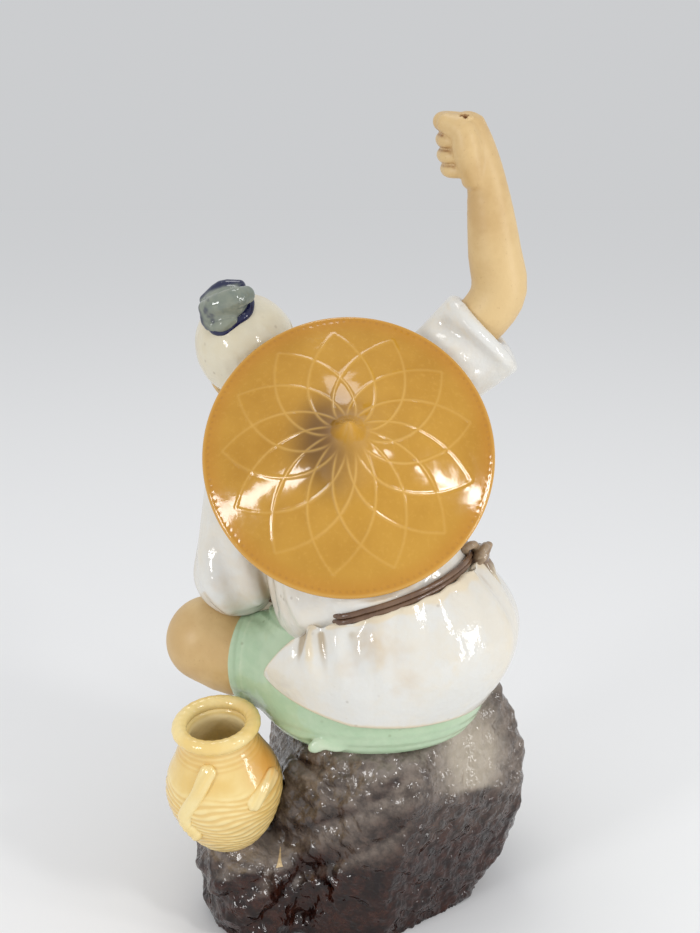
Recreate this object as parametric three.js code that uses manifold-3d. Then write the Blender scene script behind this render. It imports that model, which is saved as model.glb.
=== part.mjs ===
// A seated fisherman in glazed stoneware: a mudman figurine, 275 mm tall.
// Millimetres, +Z up. The figure faces -Y, and its raised right arm is on the -X side.
import * as THREE from "three";
import { mergeVertices } from "three/addons/utils/BufferGeometryUtils.js";
import Module from "manifold-3d";

const wasm = await Module();
wasm.setup();

// Clearance that every pair of touching pieces keeps
const GAP = 0.35;
const SIDE = new THREE.Vector3(1, 0, 0);
const BACK = new THREE.Vector3(0, 1, 0);
const UP = new THREE.Vector3(0, 0, 1);

// Rock base
const ROCK_WALL = 7;
const ROCK_ROUGHNESS = 0.9;
const ROCK_HEIGHT = 73;
const LEDGE_HEIGHT = 30;
const STEP_HEIGHT = ROCK_HEIGHT - 32;

// Places of the body by their height above the top of the rock, each shared by the pieces that meet there
const seated = (x, y, rise) => [x, y, ROCK_HEIGHT + rise];
const SEAT = seated(-7, 17, 20);
const WAIST = seated(-7, 18, 48);
const CHEST = seated(2, 10, 79);
const NECK_BASE = seated(16, -5, 101);
const CHIN_PIVOT = seated(30, -17, 107);
const RIGHT_SHOULDER = seated(-14, -13, 106);
const RIGHT_ELBOW = seated(-51.5, -9, 140);
const RIGHT_WRIST = seated(-45, -5, 179);
const RIGHT_FIST = seated(-38, -4, 192.5);
const LEFT_SHOULDER = seated(34, 1, 87);
const LEFT_ELBOW = seated(39, 6, 48);
const LEFT_WRIST = seated(42, -24, 39);
const LEFT_PALM = seated(46, -32, 32);
const LEFT_HIP = seated(10, 14, 19);
const LEFT_KNEE = seated(49, 3, 18);
const LEFT_KNEECAP = seated(50.5, 3, 21.6);
const LEFT_ANKLE = seated(8, -34, 11);
const LEFT_TOES = seated(-18, -42, 7);
const RIGHT_HIP = seated(-24, 10, 20);
const RIGHT_KNEE = seated(-40, -37, 31);
const RIGHT_ANKLE = seated(-32, -45, -13);
const RIGHT_TOES = seated(-34, -68, -27);

// Trousers and bare legs
const PELVIS_WIDTH = 78;
const PELVIS_DEPTH = 62;
const PELVIS_HEIGHT = 41;
const CUFF_RADIUS = 15.5;
const CUFF_WALL = 1.8;
const RIGHT_KNEE_RADIUS = 16;
const RIGHT_CUFF = 14;
const KNEE_RADIUS = 16;
const CALF_RADIUS = 10.5;
const ANKLE_RADIUS = 6.2;
const FOOT_WIDTH = 14;
const FOOT_THICKNESS = 9;

// Robe
const SHOULDER_WIDTH = 62;
const CHEST_DEPTH = 38;
const WAIST_WIDTH = 68;
const WAIST_DEPTH = 60;
const SKIRT_WALL = 3.2;
const SKIRT_GATHERS = 11;
const SKIRT_GATHER_DEPTH = 0.8;
const COLLAR_WIDTH = 6;
const COLLAR_THICKNESS = 2.4;
const RIGHT_CUFF_RADIUS = 17;
const LEFT_SLEEVE_RADIUS = 14.5;
const LEFT_CUFF_RADIUS = 11.8;
const SLEEVE_MOUTH_DEPTH = 7;
const RIGHT_SLEEVE_SAG = 6.2;
const RIGHT_SLEEVE_SHARE = 0.87;

// Belt cord, laid double, and its knot
const BELT_CORD_RADIUS = 1.3;
const BELT_RISE = 0.29;
const KNOT_RADIUS = 4.2;

// Arms and hands
const WRIST_RADIUS = 5.8;
const FOREARM_RADIUS = 9.3;
const UPPER_ARM_RADIUS = 9;
const FIST_WIDTH = 17;
const FINGER_RADIUS = 2.5;
const ROD_HOLE_RADIUS = 1.9;
const ROD_HOLE_DEPTH = 9;

// Head
const HEAD_WIDTH = 31;
const HEAD_DEPTH = 36;
const HEAD_HEIGHT = 42;
const HEAD_TILT = 31;
const HEAD_NOD = 8;
const BUN_BACK = 42;
const BUN_SIDE = 13;
const NECK_RADIUS = 8.5;
const HAIR_THICKNESS = 1.6;
const TOPKNOT_WIDTH = 19;
const TOPKNOT_HEIGHT = 12;
const BEARD_LENGTH = 30;

// Hat, worn on the back: its centre lies inside the line of the back by the part that the cone takes up
const HAT_SEATING = 23.5;
const HAT_CENTRE = seated(1, WAIST[1] + WAIST_DEPTH / 2 - HAT_SEATING, 95);
const HAT_RADIUS = 47.2;
const HAT_HEIGHT = 27;
const HAT_WALL = 2.6;
const HAT_TILT = 59.5;

// Creel on the low ledge of the rock
const CREEL_FOOT = [41.5, 26.8, LEDGE_HEIGHT + 3];
const CREEL_LEAN_SIDE = 4;
const CREEL_LEAN_BACK = 12;
const CREEL_HEIGHT = 49;
const CREEL_BELLY = 19.6;
const CREEL_BASE = 11;
const CREEL_NECK = 12.6;
const CREEL_MOUTH = 10;
const CREEL_WALL = 3;
const CREEL_RIM_TUBE = 3.2;
const STRAP_WIDTH = 4.2;
const STRAP_THICKNESS = 1.6;

// A turn of so many degrees about an axis
const turnAbout = (axis, degrees) =>
  new THREE.Quaternion().setFromAxisAngle(axis, THREE.MathUtils.degToRad(degrees));

// Turns a closed three.js geometry into a solid, with its faces outward
function solid(geometry) {
  const bare = new THREE.BufferGeometry();
  bare.setAttribute("position", geometry.getAttribute("position"));
  if (geometry.index) {
    bare.setIndex(geometry.index);
  }
  const merged = mergeVertices(bare, 1e-4);
  const place = merged.attributes.position;
  const corners = [];
  const a = new THREE.Vector3();
  const b = new THREE.Vector3();
  const c = new THREE.Vector3();
  let volume = 0;
  for (let i = 0; i < merged.index.count; i += 3) {
    const [p, q, r] = [0, 1, 2].map((k) => merged.index.getX(i + k));
    if (p !== q && q !== r && r !== p) {
      corners.push(p, q, r);
      a.fromBufferAttribute(place, p);
      b.fromBufferAttribute(place, q);
      c.fromBufferAttribute(place, r);
      volume += a.dot(b.cross(c));
    }
  }
  if (volume < 0) {
    corners.reverse();
  }
  const mesh = new wasm.Mesh({
    numProp: 3,
    vertProperties: place.array,
    triVerts: new Uint32Array(corners),
  });
  return new wasm.Manifold(mesh);
}

// Joins the rings of points into one closed surface, with a point or a ring at each end
function skin(rings, closed = false) {
  const count = rings.length;
  const sides = Math.max(...rings.map((ring) => ring.length));
  const places = [];
  const starts = rings.map((ring) => {
    const start = places.length / 3;
    ring.forEach((p) => places.push(p.x, p.y, p.z));
    return start;
  });
  const index = [];
  const at = (i, j) => starts[i] + (rings[i].length === 1 ? 0 : j % sides);
  const last = closed ? count : count - 1;
  for (let i = 0; i < last; i++) {
    const next = (i + 1) % count;
    for (let j = 0; j < sides; j++) {
      index.push(at(i, j), at(i, j + 1), at(next, j + 1));
      index.push(at(i, j), at(next, j + 1), at(next, j));
    }
  }
  const geometry = new THREE.BufferGeometry();
  geometry.setAttribute("position", new THREE.Float32BufferAttribute(places, 3));
  geometry.setIndex(index);
  return solid(geometry);
}

// A round-ended limb through stations of { at, wide, deep }, larger all round by grow
function limb(form, grow = 0) {
  const { stations, sides = 10, steps = 6, cap = 0.6, side = SIDE, relief = () => 0 } = form;
  const centres = new THREE.CatmullRomCurve3(stations.map((s) => new THREE.Vector3(...s.at)));
  const sizes = new THREE.CatmullRomCurve3(
    stations.map((s) => new THREE.Vector3(s.wide, s.deep ?? s.wide, 0)),
  );
  const ring = (t, scale, shift) => {
    const centre = centres.getPoint(t);
    const along = centres.getTangent(t);
    const size = sizes.getPoint(t);
    const across = side.clone().addScaledVector(along, -side.dot(along)).normalize();
    const depth = along.clone().cross(across).normalize();
    centre.addScaledVector(along, shift * (Math.min(size.x, size.y) * cap + grow));
    if (scale === 0) {
      return [centre];
    }
    return Array.from({ length: sides }, (_, j) => {
      const angle = (2 * Math.PI * j) / sides;
      const out = new THREE.Vector3()
        .addScaledVector(across, Math.cos(angle) * (size.x + grow) * scale)
        .addScaledVector(depth, Math.sin(angle) * (size.y + grow) * scale);
      const point = centre.clone().add(out);
      return point.addScaledVector(out.normalize(), relief(point, angle, t) * scale);
    });
  };
  const rings = [];
  const capRings = 2;
  for (let k = capRings; k > 0; k--) {
    const turn = (k / capRings) * (Math.PI / 2);
    rings.push(ring(0, k === capRings ? 0 : Math.cos(turn), -Math.sin(turn)));
  }
  for (let i = 0; i <= steps; i++) {
    rings.push(ring(i / steps, 1, 0));
  }
  for (let k = 1; k <= capRings; k++) {
    const turn = (k / capRings) * (Math.PI / 2);
    rings.push(ring(1, k === capRings ? 0 : Math.cos(turn), Math.sin(turn)));
  }
  return skin(rings);
}

// An ellipsoid of three half sizes, turned by an optional quaternion
function ball(at, sizes, grow = 0, turn = new THREE.Quaternion(), sides = 14) {
  const geometry = new THREE.SphereGeometry(1, sides, Math.round(sides * 0.6));
  geometry.scale(...sizes.map((s) => s + grow));
  geometry.applyQuaternion(turn);
  geometry.translate(...at);
  return solid(geometry);
}

// A turned shape from a profile of [radius, height] about +Z, then set in place by a matrix
function turned(profile, matrix, segments) {
  const points = profile.map(([r, z]) => new THREE.Vector2(r, z));
  const geometry = new THREE.LatheGeometry(points, segments);
  geometry.rotateX(Math.PI / 2);
  geometry.applyMatrix4(matrix);
  return solid(geometry);
}

// Several overlapping solids joined into one
const joined = (...solids) => solids.reduce((a, b) => a.add(b));

// The largest body left after the neighbours are cut out
function cut(piece, ...neighbours) {
  const left = neighbours.reduce((a, b) => a.subtract(b), piece);
  return left.decompose().reduce((a, b) => (a.volume() > b.volume() ? a : b));
}

const mix = (a, b, t) => a.map((value, i) => value + (b[i] - value) * t);
const shift = (a, x, y, z) => [a[0] + x, a[1] + y, a[2] + z];

// Rough stone: a fixed sum of slanted waves, the same for every build
function rough(point) {
  const { x, y, z } = point;
  const broad = Math.sin(x * 0.11 + y * 0.05 + 1) + Math.sin(y * 0.13 - z * 0.07 + 2);
  const slanted = Math.abs(Math.sin(x * 0.16 + z * 0.2 + y * 0.06)) * 1.6;
  const fine = Math.sin(x * 0.31 + z * 0.27) * Math.sin(y * 0.33 - z * 0.21 + x * 0.1);
  return ROCK_ROUGHNESS * (broad + slanted + fine - 0.8);
}

// Rock base: the boulder, wider above than at its foot
const boulder = (grow = 0) =>
  limb(
    {
      stations: [
        { at: [-3, 3, -5], wide: 39, deep: 40 },
        { at: [-5, 2, ROCK_HEIGHT * 0.14], wide: 41, deep: 43 },
        { at: [-9, 1, ROCK_HEIGHT * 0.36], wide: 44.5, deep: 46 },
        { at: [-15, 0, ROCK_HEIGHT * 0.7], wide: 48, deep: 49 },
        { at: [-12, 1, ROCK_HEIGHT * 0.9], wide: 39, deep: 45 },
        { at: [-11, 2, ROCK_HEIGHT], wide: 33, deep: 35 },
      ],
      sides: 26,
      steps: 10,
      cap: 0.1,
      relief: rough,
    },
    grow,
  );
const ledge = (grow = 0) =>
  limb(
    {
      stations: [
        { at: [28, 18, -5], wide: 17, deep: 20 },
        { at: [32, 19, LEDGE_HEIGHT * 0.4], wide: 20, deep: 24 },
        { at: [33, 20, LEDGE_HEIGHT * 0.8], wide: 20, deep: 24 },
        { at: [32, 20, LEDGE_HEIGHT], wide: 16, deep: 20 },
      ],
      sides: 20,
      steps: 6,
      cap: 0.2,
      relief: rough,
    },
    grow,
  );
const footStep = () =>
  limb({
    stations: [
      { at: [-22, -34, -5], wide: 24, deep: 22 },
      { at: [-26, -38, STEP_HEIGHT * 0.4], wide: 25, deep: 25 },
      { at: [-31, -46, STEP_HEIGHT * 0.83], wide: 20, deep: 25 },
      { at: [-32, -48, STEP_HEIGHT], wide: 15, deep: 20 },
    ],
    sides: 16,
    steps: 5,
    cap: 0.1,
    relief: rough,
  });
const rockHollow = () =>
  limb({
    stations: [
      { at: [2, -2, -9], wide: 32 - ROCK_WALL, deep: 35 - ROCK_WALL },
      { at: [-4, -2, ROCK_HEIGHT * 0.3], wide: 38 - ROCK_WALL, deep: 42 - ROCK_WALL },
      { at: [-12, 0, ROCK_HEIGHT * 0.62], wide: 40 - ROCK_WALL, deep: 42 - ROCK_WALL },
    ],
    sides: 16,
    steps: 5,
    cap: 0.3,
  });
const belowFloor = () => {
  const box = new THREE.BoxGeometry(400, 400, 100);
  box.translate(0, 0, -50);
  return solid(box);
};
// Flat faces split off the boulder: azimuth, elevation and distance from its middle
const ROCK_MIDDLE = [-8, 0, ROCK_HEIGHT * 0.52];
const ROCK_FACES = [
  [138, 16, 46.5],
  [84, -7, 46.5],
  [55, 4, 43],
  [182, -8, 52.5],
  [130, -12, 40.5],
  [214, 12, 46],
  [268, 4, 45],
  [312, -6, 42],
  [236, -34, 42],
  [8, 14, 38],
];
const splitFace = ([azimuth, elevation, distance]) => {
  const size = 200;
  const box = new THREE.BoxGeometry(size, size, size);
  box.translate(distance + size / 2, 0, 0);
  box.rotateY(THREE.MathUtils.degToRad(-elevation));
  box.rotateZ(THREE.MathUtils.degToRad(azimuth));
  box.translate(...ROCK_MIDDLE);
  return solid(box);
};

// Bare legs: thigh end, knee, calf and foot
const leftLeg = (grow = 0) =>
  joined(
    limb(
      {
        stations: [
          { at: mix(LEFT_HIP, LEFT_KNEE, 0.45), wide: CUFF_RADIUS - 3 },
          { at: mix(LEFT_HIP, LEFT_KNEE, 0.75), wide: CUFF_RADIUS - 1.4 },
          { at: LEFT_KNEECAP, wide: KNEE_RADIUS },
        ],
        side: UP,
        cap: 0.95,
      },
      grow,
    ),
    limb(
      {
        stations: [
          { at: shift(LEFT_KNEECAP, 0, -3, -3), wide: KNEE_RADIUS - 1 },
          { at: mix(LEFT_KNEE, LEFT_ANKLE, 0.5), wide: CALF_RADIUS + 1 },
          { at: LEFT_ANKLE, wide: ANKLE_RADIUS },
        ],
        side: UP,
        cap: 0.95,
      },
      grow,
    ),
  );
const foot = (ankle, toes, side) => (grow = 0) =>
  limb(
    {
      stations: [
        { at: mix(ankle, toes, -0.18), wide: FOOT_WIDTH * 0.34, deep: FOOT_THICKNESS * 0.5 },
        { at: mix(ankle, toes, 0.2), wide: FOOT_WIDTH * 0.36, deep: FOOT_THICKNESS * 0.66 },
        { at: mix(ankle, toes, 0.7), wide: FOOT_WIDTH * 0.48, deep: FOOT_THICKNESS * 0.42 },
        { at: toes, wide: FOOT_WIDTH * 0.5, deep: FOOT_THICKNESS * 0.3 },
      ],
      side,
      steps: 8,
    },
    grow,
  );
const rightLeg = (grow = 0) =>
  limb(
    {
      stations: [
        { at: mix(RIGHT_KNEE, RIGHT_ANKLE, 0.1), wide: CALF_RADIUS + 0.5 },
        { at: mix(RIGHT_KNEE, RIGHT_ANKLE, 0.45), wide: CALF_RADIUS },
        { at: RIGHT_ANKLE, wide: ANKLE_RADIUS },
        { at: shift(RIGHT_ANKLE, 0, -1, -6), wide: ANKLE_RADIUS },
      ],
      steps: 10,
    },
    grow,
  );
const leftFoot = foot(shift(LEFT_ANKLE, -4, -1, -2), LEFT_TOES, UP);
const rightFoot = foot(shift(RIGHT_ANKLE, 0, -2, -9), RIGHT_TOES, SIDE);

// Trousers: seat, and both thighs in cloth with turned hollow cuffs
const trousers = (grow = 0) => {
  const seatLevel = (rise, wide, deep) => ({
    at: shift(SEAT, 0, 0, PELVIS_HEIGHT * rise),
    wide: PELVIS_WIDTH * wide,
    deep: PELVIS_DEPTH * deep,
  });
  const seat = limb(
    {
      stations: [
        seatLevel(-0.5, 0.42, 0.44),
        seatLevel(-0.3, 0.49, 0.5),
        seatLevel(0, 0.5, 0.5),
        seatLevel(0.4, 0.42, 0.42),
      ],
      sides: 18,
      steps: 5,
      cap: 0.12,
    },
    grow,
  );
  const left = limb(
    {
      stations: [
        { at: LEFT_HIP, wide: CUFF_RADIUS + 3, deep: CUFF_RADIUS + 4 },
        { at: mix(LEFT_HIP, LEFT_KNEE, 0.35), wide: CUFF_RADIUS + 1.5 },
        { at: mix(LEFT_HIP, LEFT_KNEE, 0.68), wide: CUFF_RADIUS },
      ],
      side: UP,
      cap: 0.05,
    },
    grow,
  );
  const right = limb(
    {
      stations: [
        { at: RIGHT_HIP, wide: 20, deep: 18 },
        { at: mix(RIGHT_HIP, RIGHT_KNEE, 0.5), wide: 18, deep: 17 },
        { at: RIGHT_KNEE, wide: RIGHT_KNEE_RADIUS },
      ],
      cap: 0.9,
    },
    grow,
  );
  const shin = limb(
    {
      stations: [
        { at: RIGHT_KNEE, wide: RIGHT_KNEE_RADIUS - 0.5 },
        { at: mix(RIGHT_KNEE, RIGHT_ANKLE, 0.5), wide: RIGHT_CUFF },
      ],
      steps: 5,
      cap: 0.1,
    },
    grow,
  );
  return joined(seat, left, right, shin);
};
const leftCuffHollow = () =>
  limb({
    stations: [
      { at: mix(LEFT_HIP, LEFT_KNEE, 0.6), wide: CUFF_RADIUS - CUFF_WALL - 0.6 },
      { at: mix(LEFT_HIP, LEFT_KNEE, 0.8), wide: CUFF_RADIUS - CUFF_WALL + 0.4 },
    ],
    side: UP,
    steps: 2,
    cap: 0.1,
  });
const rightCuffHollow = () =>
  limb({
    stations: [
      { at: mix(RIGHT_KNEE, RIGHT_ANKLE, 0.4), wide: RIGHT_CUFF - CUFF_WALL - 0.6 },
      { at: mix(RIGHT_KNEE, RIGHT_ANKLE, 0.6), wide: RIGHT_CUFF - CUFF_WALL + 0.4 },
    ],
    steps: 2,
    cap: 0.1,
  });

// Robe: the upper body from the belt to the shoulders
const robeBody = (grow = 0) =>
  limb(
    {
      stations: [
        { at: mix(WAIST, CHEST, -0.28), wide: WAIST_WIDTH / 2 - 2, deep: WAIST_DEPTH / 2 - 2 },
        { at: WAIST, wide: WAIST_WIDTH / 2, deep: WAIST_DEPTH / 2 },
        { at: mix(WAIST, CHEST, 0.5), wide: WAIST_WIDTH / 2 - 1, deep: WAIST_DEPTH / 2 - 2 },
        { at: CHEST, wide: SHOULDER_WIDTH / 2, deep: CHEST_DEPTH / 2 + 2 },
        { at: mix(CHEST, NECK_BASE, 0.7), wide: SHOULDER_WIDTH / 2 - 3, deep: CHEST_DEPTH / 2 - 1 },
        { at: NECK_BASE, wide: NECK_RADIUS + 9, deep: NECK_RADIUS + 4 },
      ],
      sides: 16,
      steps: 8,
      cap: 0.25,
    },
    grow,
  );

// Robe: the skirt, a gathered sheet that hangs from the belt over the seat and is parted by the left thigh
// Heights of the hem from the seat's middle, by the angle about it
const HEM_HEIGHTS = [
  [15, 4],
  [24, 2.4],
  [52, -2],
  [80, -8],
  [110, -10],
  [140, -11.5],
  [172, -11.5],
  [205, -8],
  [240, -1],
  [270, 5],
  [310, 10],
  [360, 13],
];
const skirtHem = (degrees) => {
  const next = HEM_HEIGHTS.findIndex(([end]) => end > degrees);
  const [from, low] = HEM_HEIGHTS[next - 1];
  const [to, high] = HEM_HEIGHTS[next];
  return SEAT[2] + THREE.MathUtils.lerp(low, high, (degrees - from) / (to - from));
};
const SKIRT_START = 24;
const SKIRT_END = 345;
const SKIRT_FAN = 27;
const SKIRT_FAN_END = 100;
const skirt = (grow = 0) => {
  const columns = 30;
  const steps = 4;
  const point = (share, s, inset) => {
    const room = THREE.MathUtils.radToDeg((2 * grow) / PELVIS_WIDTH);
    const atHem = THREE.MathUtils.lerp(SKIRT_START - room, SKIRT_END + room, share);
    const fan = SKIRT_FAN * (1 - THREE.MathUtils.smoothstep(atHem, SKIRT_START, SKIRT_FAN_END));
    const angle = THREE.MathUtils.degToRad(atHem + fan * (1 - s));
    const cos = Math.cos(angle);
    const sin = Math.sin(angle);
    const belt = new THREE.Vector3(
      WAIST[0] + cos * (WAIST_WIDTH / 2 + 1.2),
      WAIST[1] + sin * (WAIST_DEPTH / 2 + 1.2),
      WAIST[2] - BELT_RISE * cos * (WAIST_WIDTH / 2),
    );
    const right = Math.max(0, -cos);
    const hem = new THREE.Vector3(
      SEAT[0] + cos * (PELVIS_WIDTH / 2 + 1 + 2 * right),
      SEAT[1] + sin * (PELVIS_DEPTH / 2 + 3),
      skirtHem(atHem),
    );
    const at = belt.lerp(hem, s);
    const gatherDepth = SKIRT_GATHER_DEPTH * Math.sin(Math.PI * (0.15 + s * 0.7));
    const gather = gatherDepth * Math.cos(angle * SKIRT_GATHERS + 3 * s);
    const bulge = Math.sin(Math.PI * s) * (4 + 8 * right);
    const out = gather + bulge - inset + grow;
    return at.add(new THREE.Vector3(cos * out, sin * out, grow * (1 - 2 * s)));
  };
  const down = Array.from({ length: steps + 1 }, (_, i) => i / steps);
  const ring = (share) => [
    ...down.map((s) => point(share, s, 0)),
    ...[...down].reverse().map((s) => point(share, s, SKIRT_WALL + 2 * grow)),
  ];
  const rings = Array.from({ length: columns + 1 }, (_, i) => ring(i / columns));
  const ends = [0, 1].map((share) => [point(share, 0.5, SKIRT_WALL / 2 + grow)]);
  return skin([ends[0], ...rings, ends[1]]);
};

// Sleeves: cloth tubes that end in an open mouth round the bare arm
const underRightArm = (share, sag) =>
  shift(mix(RIGHT_SHOULDER, RIGHT_ELBOW, share), 1, 0, -RIGHT_SLEEVE_SAG * sag);
const rightSleeve = (grow = 0) =>
  limb(
    {
      stations: [
        { at: shift(RIGHT_SHOULDER, 9, 1, -11), wide: 14, deep: 13 },
        { at: underRightArm(0, 0.6), wide: 15, deep: 13.5 },
        { at: underRightArm(0.45, 1), wide: RIGHT_CUFF_RADIUS - 1.5, deep: 13.5 },
        { at: underRightArm(RIGHT_SLEEVE_SHARE, 1), wide: RIGHT_CUFF_RADIUS, deep: 14.5 },
      ],
      sides: 16,
      steps: 6,
      cap: 0.05,
    },
    grow,
  );
const rightSleeveMouth = () => {
  const armLength = new THREE.Vector3(...RIGHT_SHOULDER).distanceTo(new THREE.Vector3(...RIGHT_ELBOW));
  const bottom = RIGHT_SLEEVE_SHARE - SLEEVE_MOUTH_DEPTH / armLength;
  return limb({
    stations: [
      { at: underRightArm(bottom, 1), wide: RIGHT_CUFF_RADIUS - 4, deep: 11.5 },
      { at: underRightArm(RIGHT_SLEEVE_SHARE + 0.15, 1), wide: RIGHT_CUFF_RADIUS - 1, deep: 13.5 },
    ],
    steps: 2,
    cap: 0.2,
  });
};
const leftCuff = mix(LEFT_ELBOW, LEFT_WRIST, 0.72);
const leftSleeve = (grow = 0) =>
  joined(
    limb(
      {
        stations: [
          { at: shift(LEFT_SHOULDER, -10, 1, 4), wide: 12, deep: 13 },
          { at: LEFT_SHOULDER, wide: 13, deep: 14 },
          { at: mix(LEFT_SHOULDER, LEFT_ELBOW, 0.5), wide: LEFT_SLEEVE_RADIUS, deep: 15 },
          { at: LEFT_ELBOW, wide: LEFT_SLEEVE_RADIUS },
        ],
        sides: 14,
        cap: 0.9,
      },
      grow,
    ),
    limb(
      {
        stations: [
          { at: LEFT_ELBOW, wide: LEFT_SLEEVE_RADIUS },
          { at: leftCuff, wide: LEFT_CUFF_RADIUS },
        ],
        sides: 14,
        steps: 3,
        cap: 0.05,
      },
      grow,
    ),
  );
const leftSleeveMouth = () =>
  limb({
    stations: [
      { at: mix(LEFT_ELBOW, LEFT_WRIST, 0.52), wide: LEFT_CUFF_RADIUS - 2.8 },
      { at: mix(LEFT_ELBOW, LEFT_WRIST, 0.9), wide: LEFT_CUFF_RADIUS - 1.4 },
    ],
    steps: 2,
    cap: 0.2,
  });

// Bare arms
const rightArm = (grow = 0) =>
  limb(
    {
      stations: [
        { at: mix(RIGHT_SHOULDER, RIGHT_ELBOW, 0.5), wide: UPPER_ARM_RADIUS },
        { at: mix(RIGHT_SHOULDER, RIGHT_ELBOW, 0.85), wide: UPPER_ARM_RADIUS },
        { at: shift(RIGHT_ELBOW, 0, 0, 4), wide: FOREARM_RADIUS },
        { at: mix(RIGHT_ELBOW, RIGHT_WRIST, 0.4), wide: FOREARM_RADIUS },
        { at: mix(RIGHT_ELBOW, RIGHT_WRIST, 0.75), wide: (FOREARM_RADIUS + WRIST_RADIUS) / 2 },
        { at: RIGHT_WRIST, wide: WRIST_RADIUS },
        { at: mix(RIGHT_WRIST, RIGHT_FIST, 0.4), wide: WRIST_RADIUS - 0.6 },
      ],
      steps: 18,
    },
    grow,
  );
const leftArm = (grow = 0) =>
  limb(
    {
      stations: [
        { at: mix(LEFT_ELBOW, LEFT_WRIST, 0.3), wide: FOREARM_RADIUS - 1.5 },
        { at: mix(LEFT_ELBOW, LEFT_WRIST, 0.7), wide: FOREARM_RADIUS - 2 },
        { at: LEFT_WRIST, wide: WRIST_RADIUS },
        { at: mix(LEFT_WRIST, LEFT_PALM, 0.4), wide: WRIST_RADIUS - 0.6 },
      ],
      steps: 8,
    },
    grow,
  );

// Right hand: a fist with a bored hole that once held a rod
const finger = (points, radius) =>
  limb({ stations: points.map((at) => ({ at, wide: radius })), sides: 5, steps: 3, cap: 0.9 });
const rightHand = () => {
  const palm = ball(RIGHT_FIST, [FIST_WIDTH / 2, 8, 10.5], 0, turnAbout(BACK, -24), 13);
  const curls = [0, 1, 2, 3].map((i) => {
    const root = shift(RIGHT_FIST, 1 - i * 0.6, -6, 6 - i * 4.6);
    const knuckle = shift(root, 7.2, -1, 0);
    const tip = shift(root, 7, 6.5, -1.2);
    return finger([root, knuckle, tip], FINGER_RADIUS);
  });
  const thumb = finger(
    [
      shift(RIGHT_FIST, -4, 3, 1),
      shift(RIGHT_FIST, 2, 4.5, 6.5),
      shift(RIGHT_FIST, 7, 2.5, 7.5),
    ],
    FINGER_RADIUS + 0.7,
  );
  return joined(palm, thumb, ...curls);
};
const rodHole = () => {
  const bore = new THREE.CylinderGeometry(ROD_HOLE_RADIUS, ROD_HOLE_RADIUS, ROD_HOLE_DEPTH, 12);
  bore.rotateX(Math.PI / 2 - 0.5);
  bore.translate(...shift(RIGHT_FIST, -2.2, 2.9, 9.3 - ROD_HOLE_DEPTH * 0.3));
  return solid(bore);
};
const leftHand = () => {
  const palm = limb({
    stations: [
      { at: mix(LEFT_WRIST, LEFT_PALM, 0.4), wide: 6, deep: 5 },
      { at: LEFT_PALM, wide: 8, deep: 4.2 },
    ],
    steps: 4,
  });
  const fingers = [-1.5, -0.5, 0.5, 1.5].map((k) =>
    finger(
      [
        shift(LEFT_PALM, k * 3.6, -2, 0),
        shift(LEFT_PALM, k * 4.2 + 2, -9, -2),
        shift(LEFT_PALM, k * 4.3 + 3, -14, -6),
      ],
      FINGER_RADIUS - 0.3,
    ),
  );
  const thumb = finger(
    [shift(LEFT_PALM, -5, 2, 0), shift(LEFT_PALM, -10, -2, -2), shift(LEFT_PALM, -11, -6, -5)],
    FINGER_RADIUS,
  );
  return joined(palm, thumb, ...fingers);
};

// Neck and the bare chest that shows in the opening of the robe
const chestAndNeck = (grow = 0) =>
  joined(
    limb(
      {
        stations: [
          { at: shift(CHEST, 2, -CHEST_DEPTH / 2 + 1, -8), wide: 4, deep: 5 },
          { at: shift(mix(CHEST, NECK_BASE, 0.4), 1, -CHEST_DEPTH / 2 + 5, 0), wide: 11, deep: 8 },
          { at: shift(NECK_BASE, 1, -4, 0), wide: NECK_RADIUS + 5, deep: NECK_RADIUS + 1 },
        ],
        sides: 14,
      },
      grow,
    ),
    limb(
      {
        stations: [
          { at: mix(CHEST, NECK_BASE, 0.8), wide: NECK_RADIUS + 2 },
          { at: NECK_BASE, wide: NECK_RADIUS },
          { at: CHIN_PIVOT, wide: NECK_RADIUS - 0.5 },
        ],
        steps: 5,
      },
      grow,
    ),
  );

// Head: built upright about its own centre, then tilted to the side and nodded forward
const headTurn = turnAbout(BACK, HEAD_TILT).multiply(turnAbout(SIDE, HEAD_NOD));
const headCentre = new THREE.Vector3(-2, -5, HEAD_HEIGHT * 0.3)
  .applyQuaternion(headTurn)
  .add(new THREE.Vector3(...CHIN_PIVOT));
const onHead = (x, y, z) =>
  new THREE.Vector3(x, y, z).applyQuaternion(headTurn).add(headCentre).toArray();
const skull = (grow = 0) =>
  ball(
    onHead(0, 2, HEAD_HEIGHT * 0.1),
    [HEAD_WIDTH / 2, HEAD_DEPTH / 2, HEAD_HEIGHT * 0.4],
    grow,
    headTurn,
    15,
  );
const headLump = (at, sizes, grow) => ball(onHead(...at), sizes, grow, headTurn, 8);
const head = (grow = 0) => {
  const jaw = headLump([0, -5, -HEAD_HEIGHT * 0.22], [HEAD_WIDTH * 0.36, 12, 12], grow);
  const nose = headLump([0, -HEAD_DEPTH / 2 + 0.5, -2], [2.8, 3.6, 4.6], grow);
  const brow = headLump([0, -HEAD_DEPTH / 2 + 4.5, 5.5], [10, 3.4, 2.6], grow);
  const cheeks = [-1, 1].map((k) =>
    headLump([k * 6.6, -HEAD_DEPTH / 2 + 5.5, -4.5], [4.6, 4.2, 4.6], grow),
  );
  const ears = [-1, 1].map((k) => headLump([k * HEAD_WIDTH * 0.49, 1, -3], [2, 3.6, 5.6], grow));
  return joined(skull(grow), jaw, nose, brow, ...cheeks, ...ears);
};
const faceOpening = () =>
  ball(onHead(0, -HEAD_DEPTH * 0.5, -HEAD_HEIGHT * 0.22), [22, 20, 21], 0, headTurn, 14);
const bunTurn = headTurn
  .clone()
  .multiply(turnAbout(BACK, -BUN_SIDE))
  .multiply(turnAbout(SIDE, -BUN_BACK));
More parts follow.
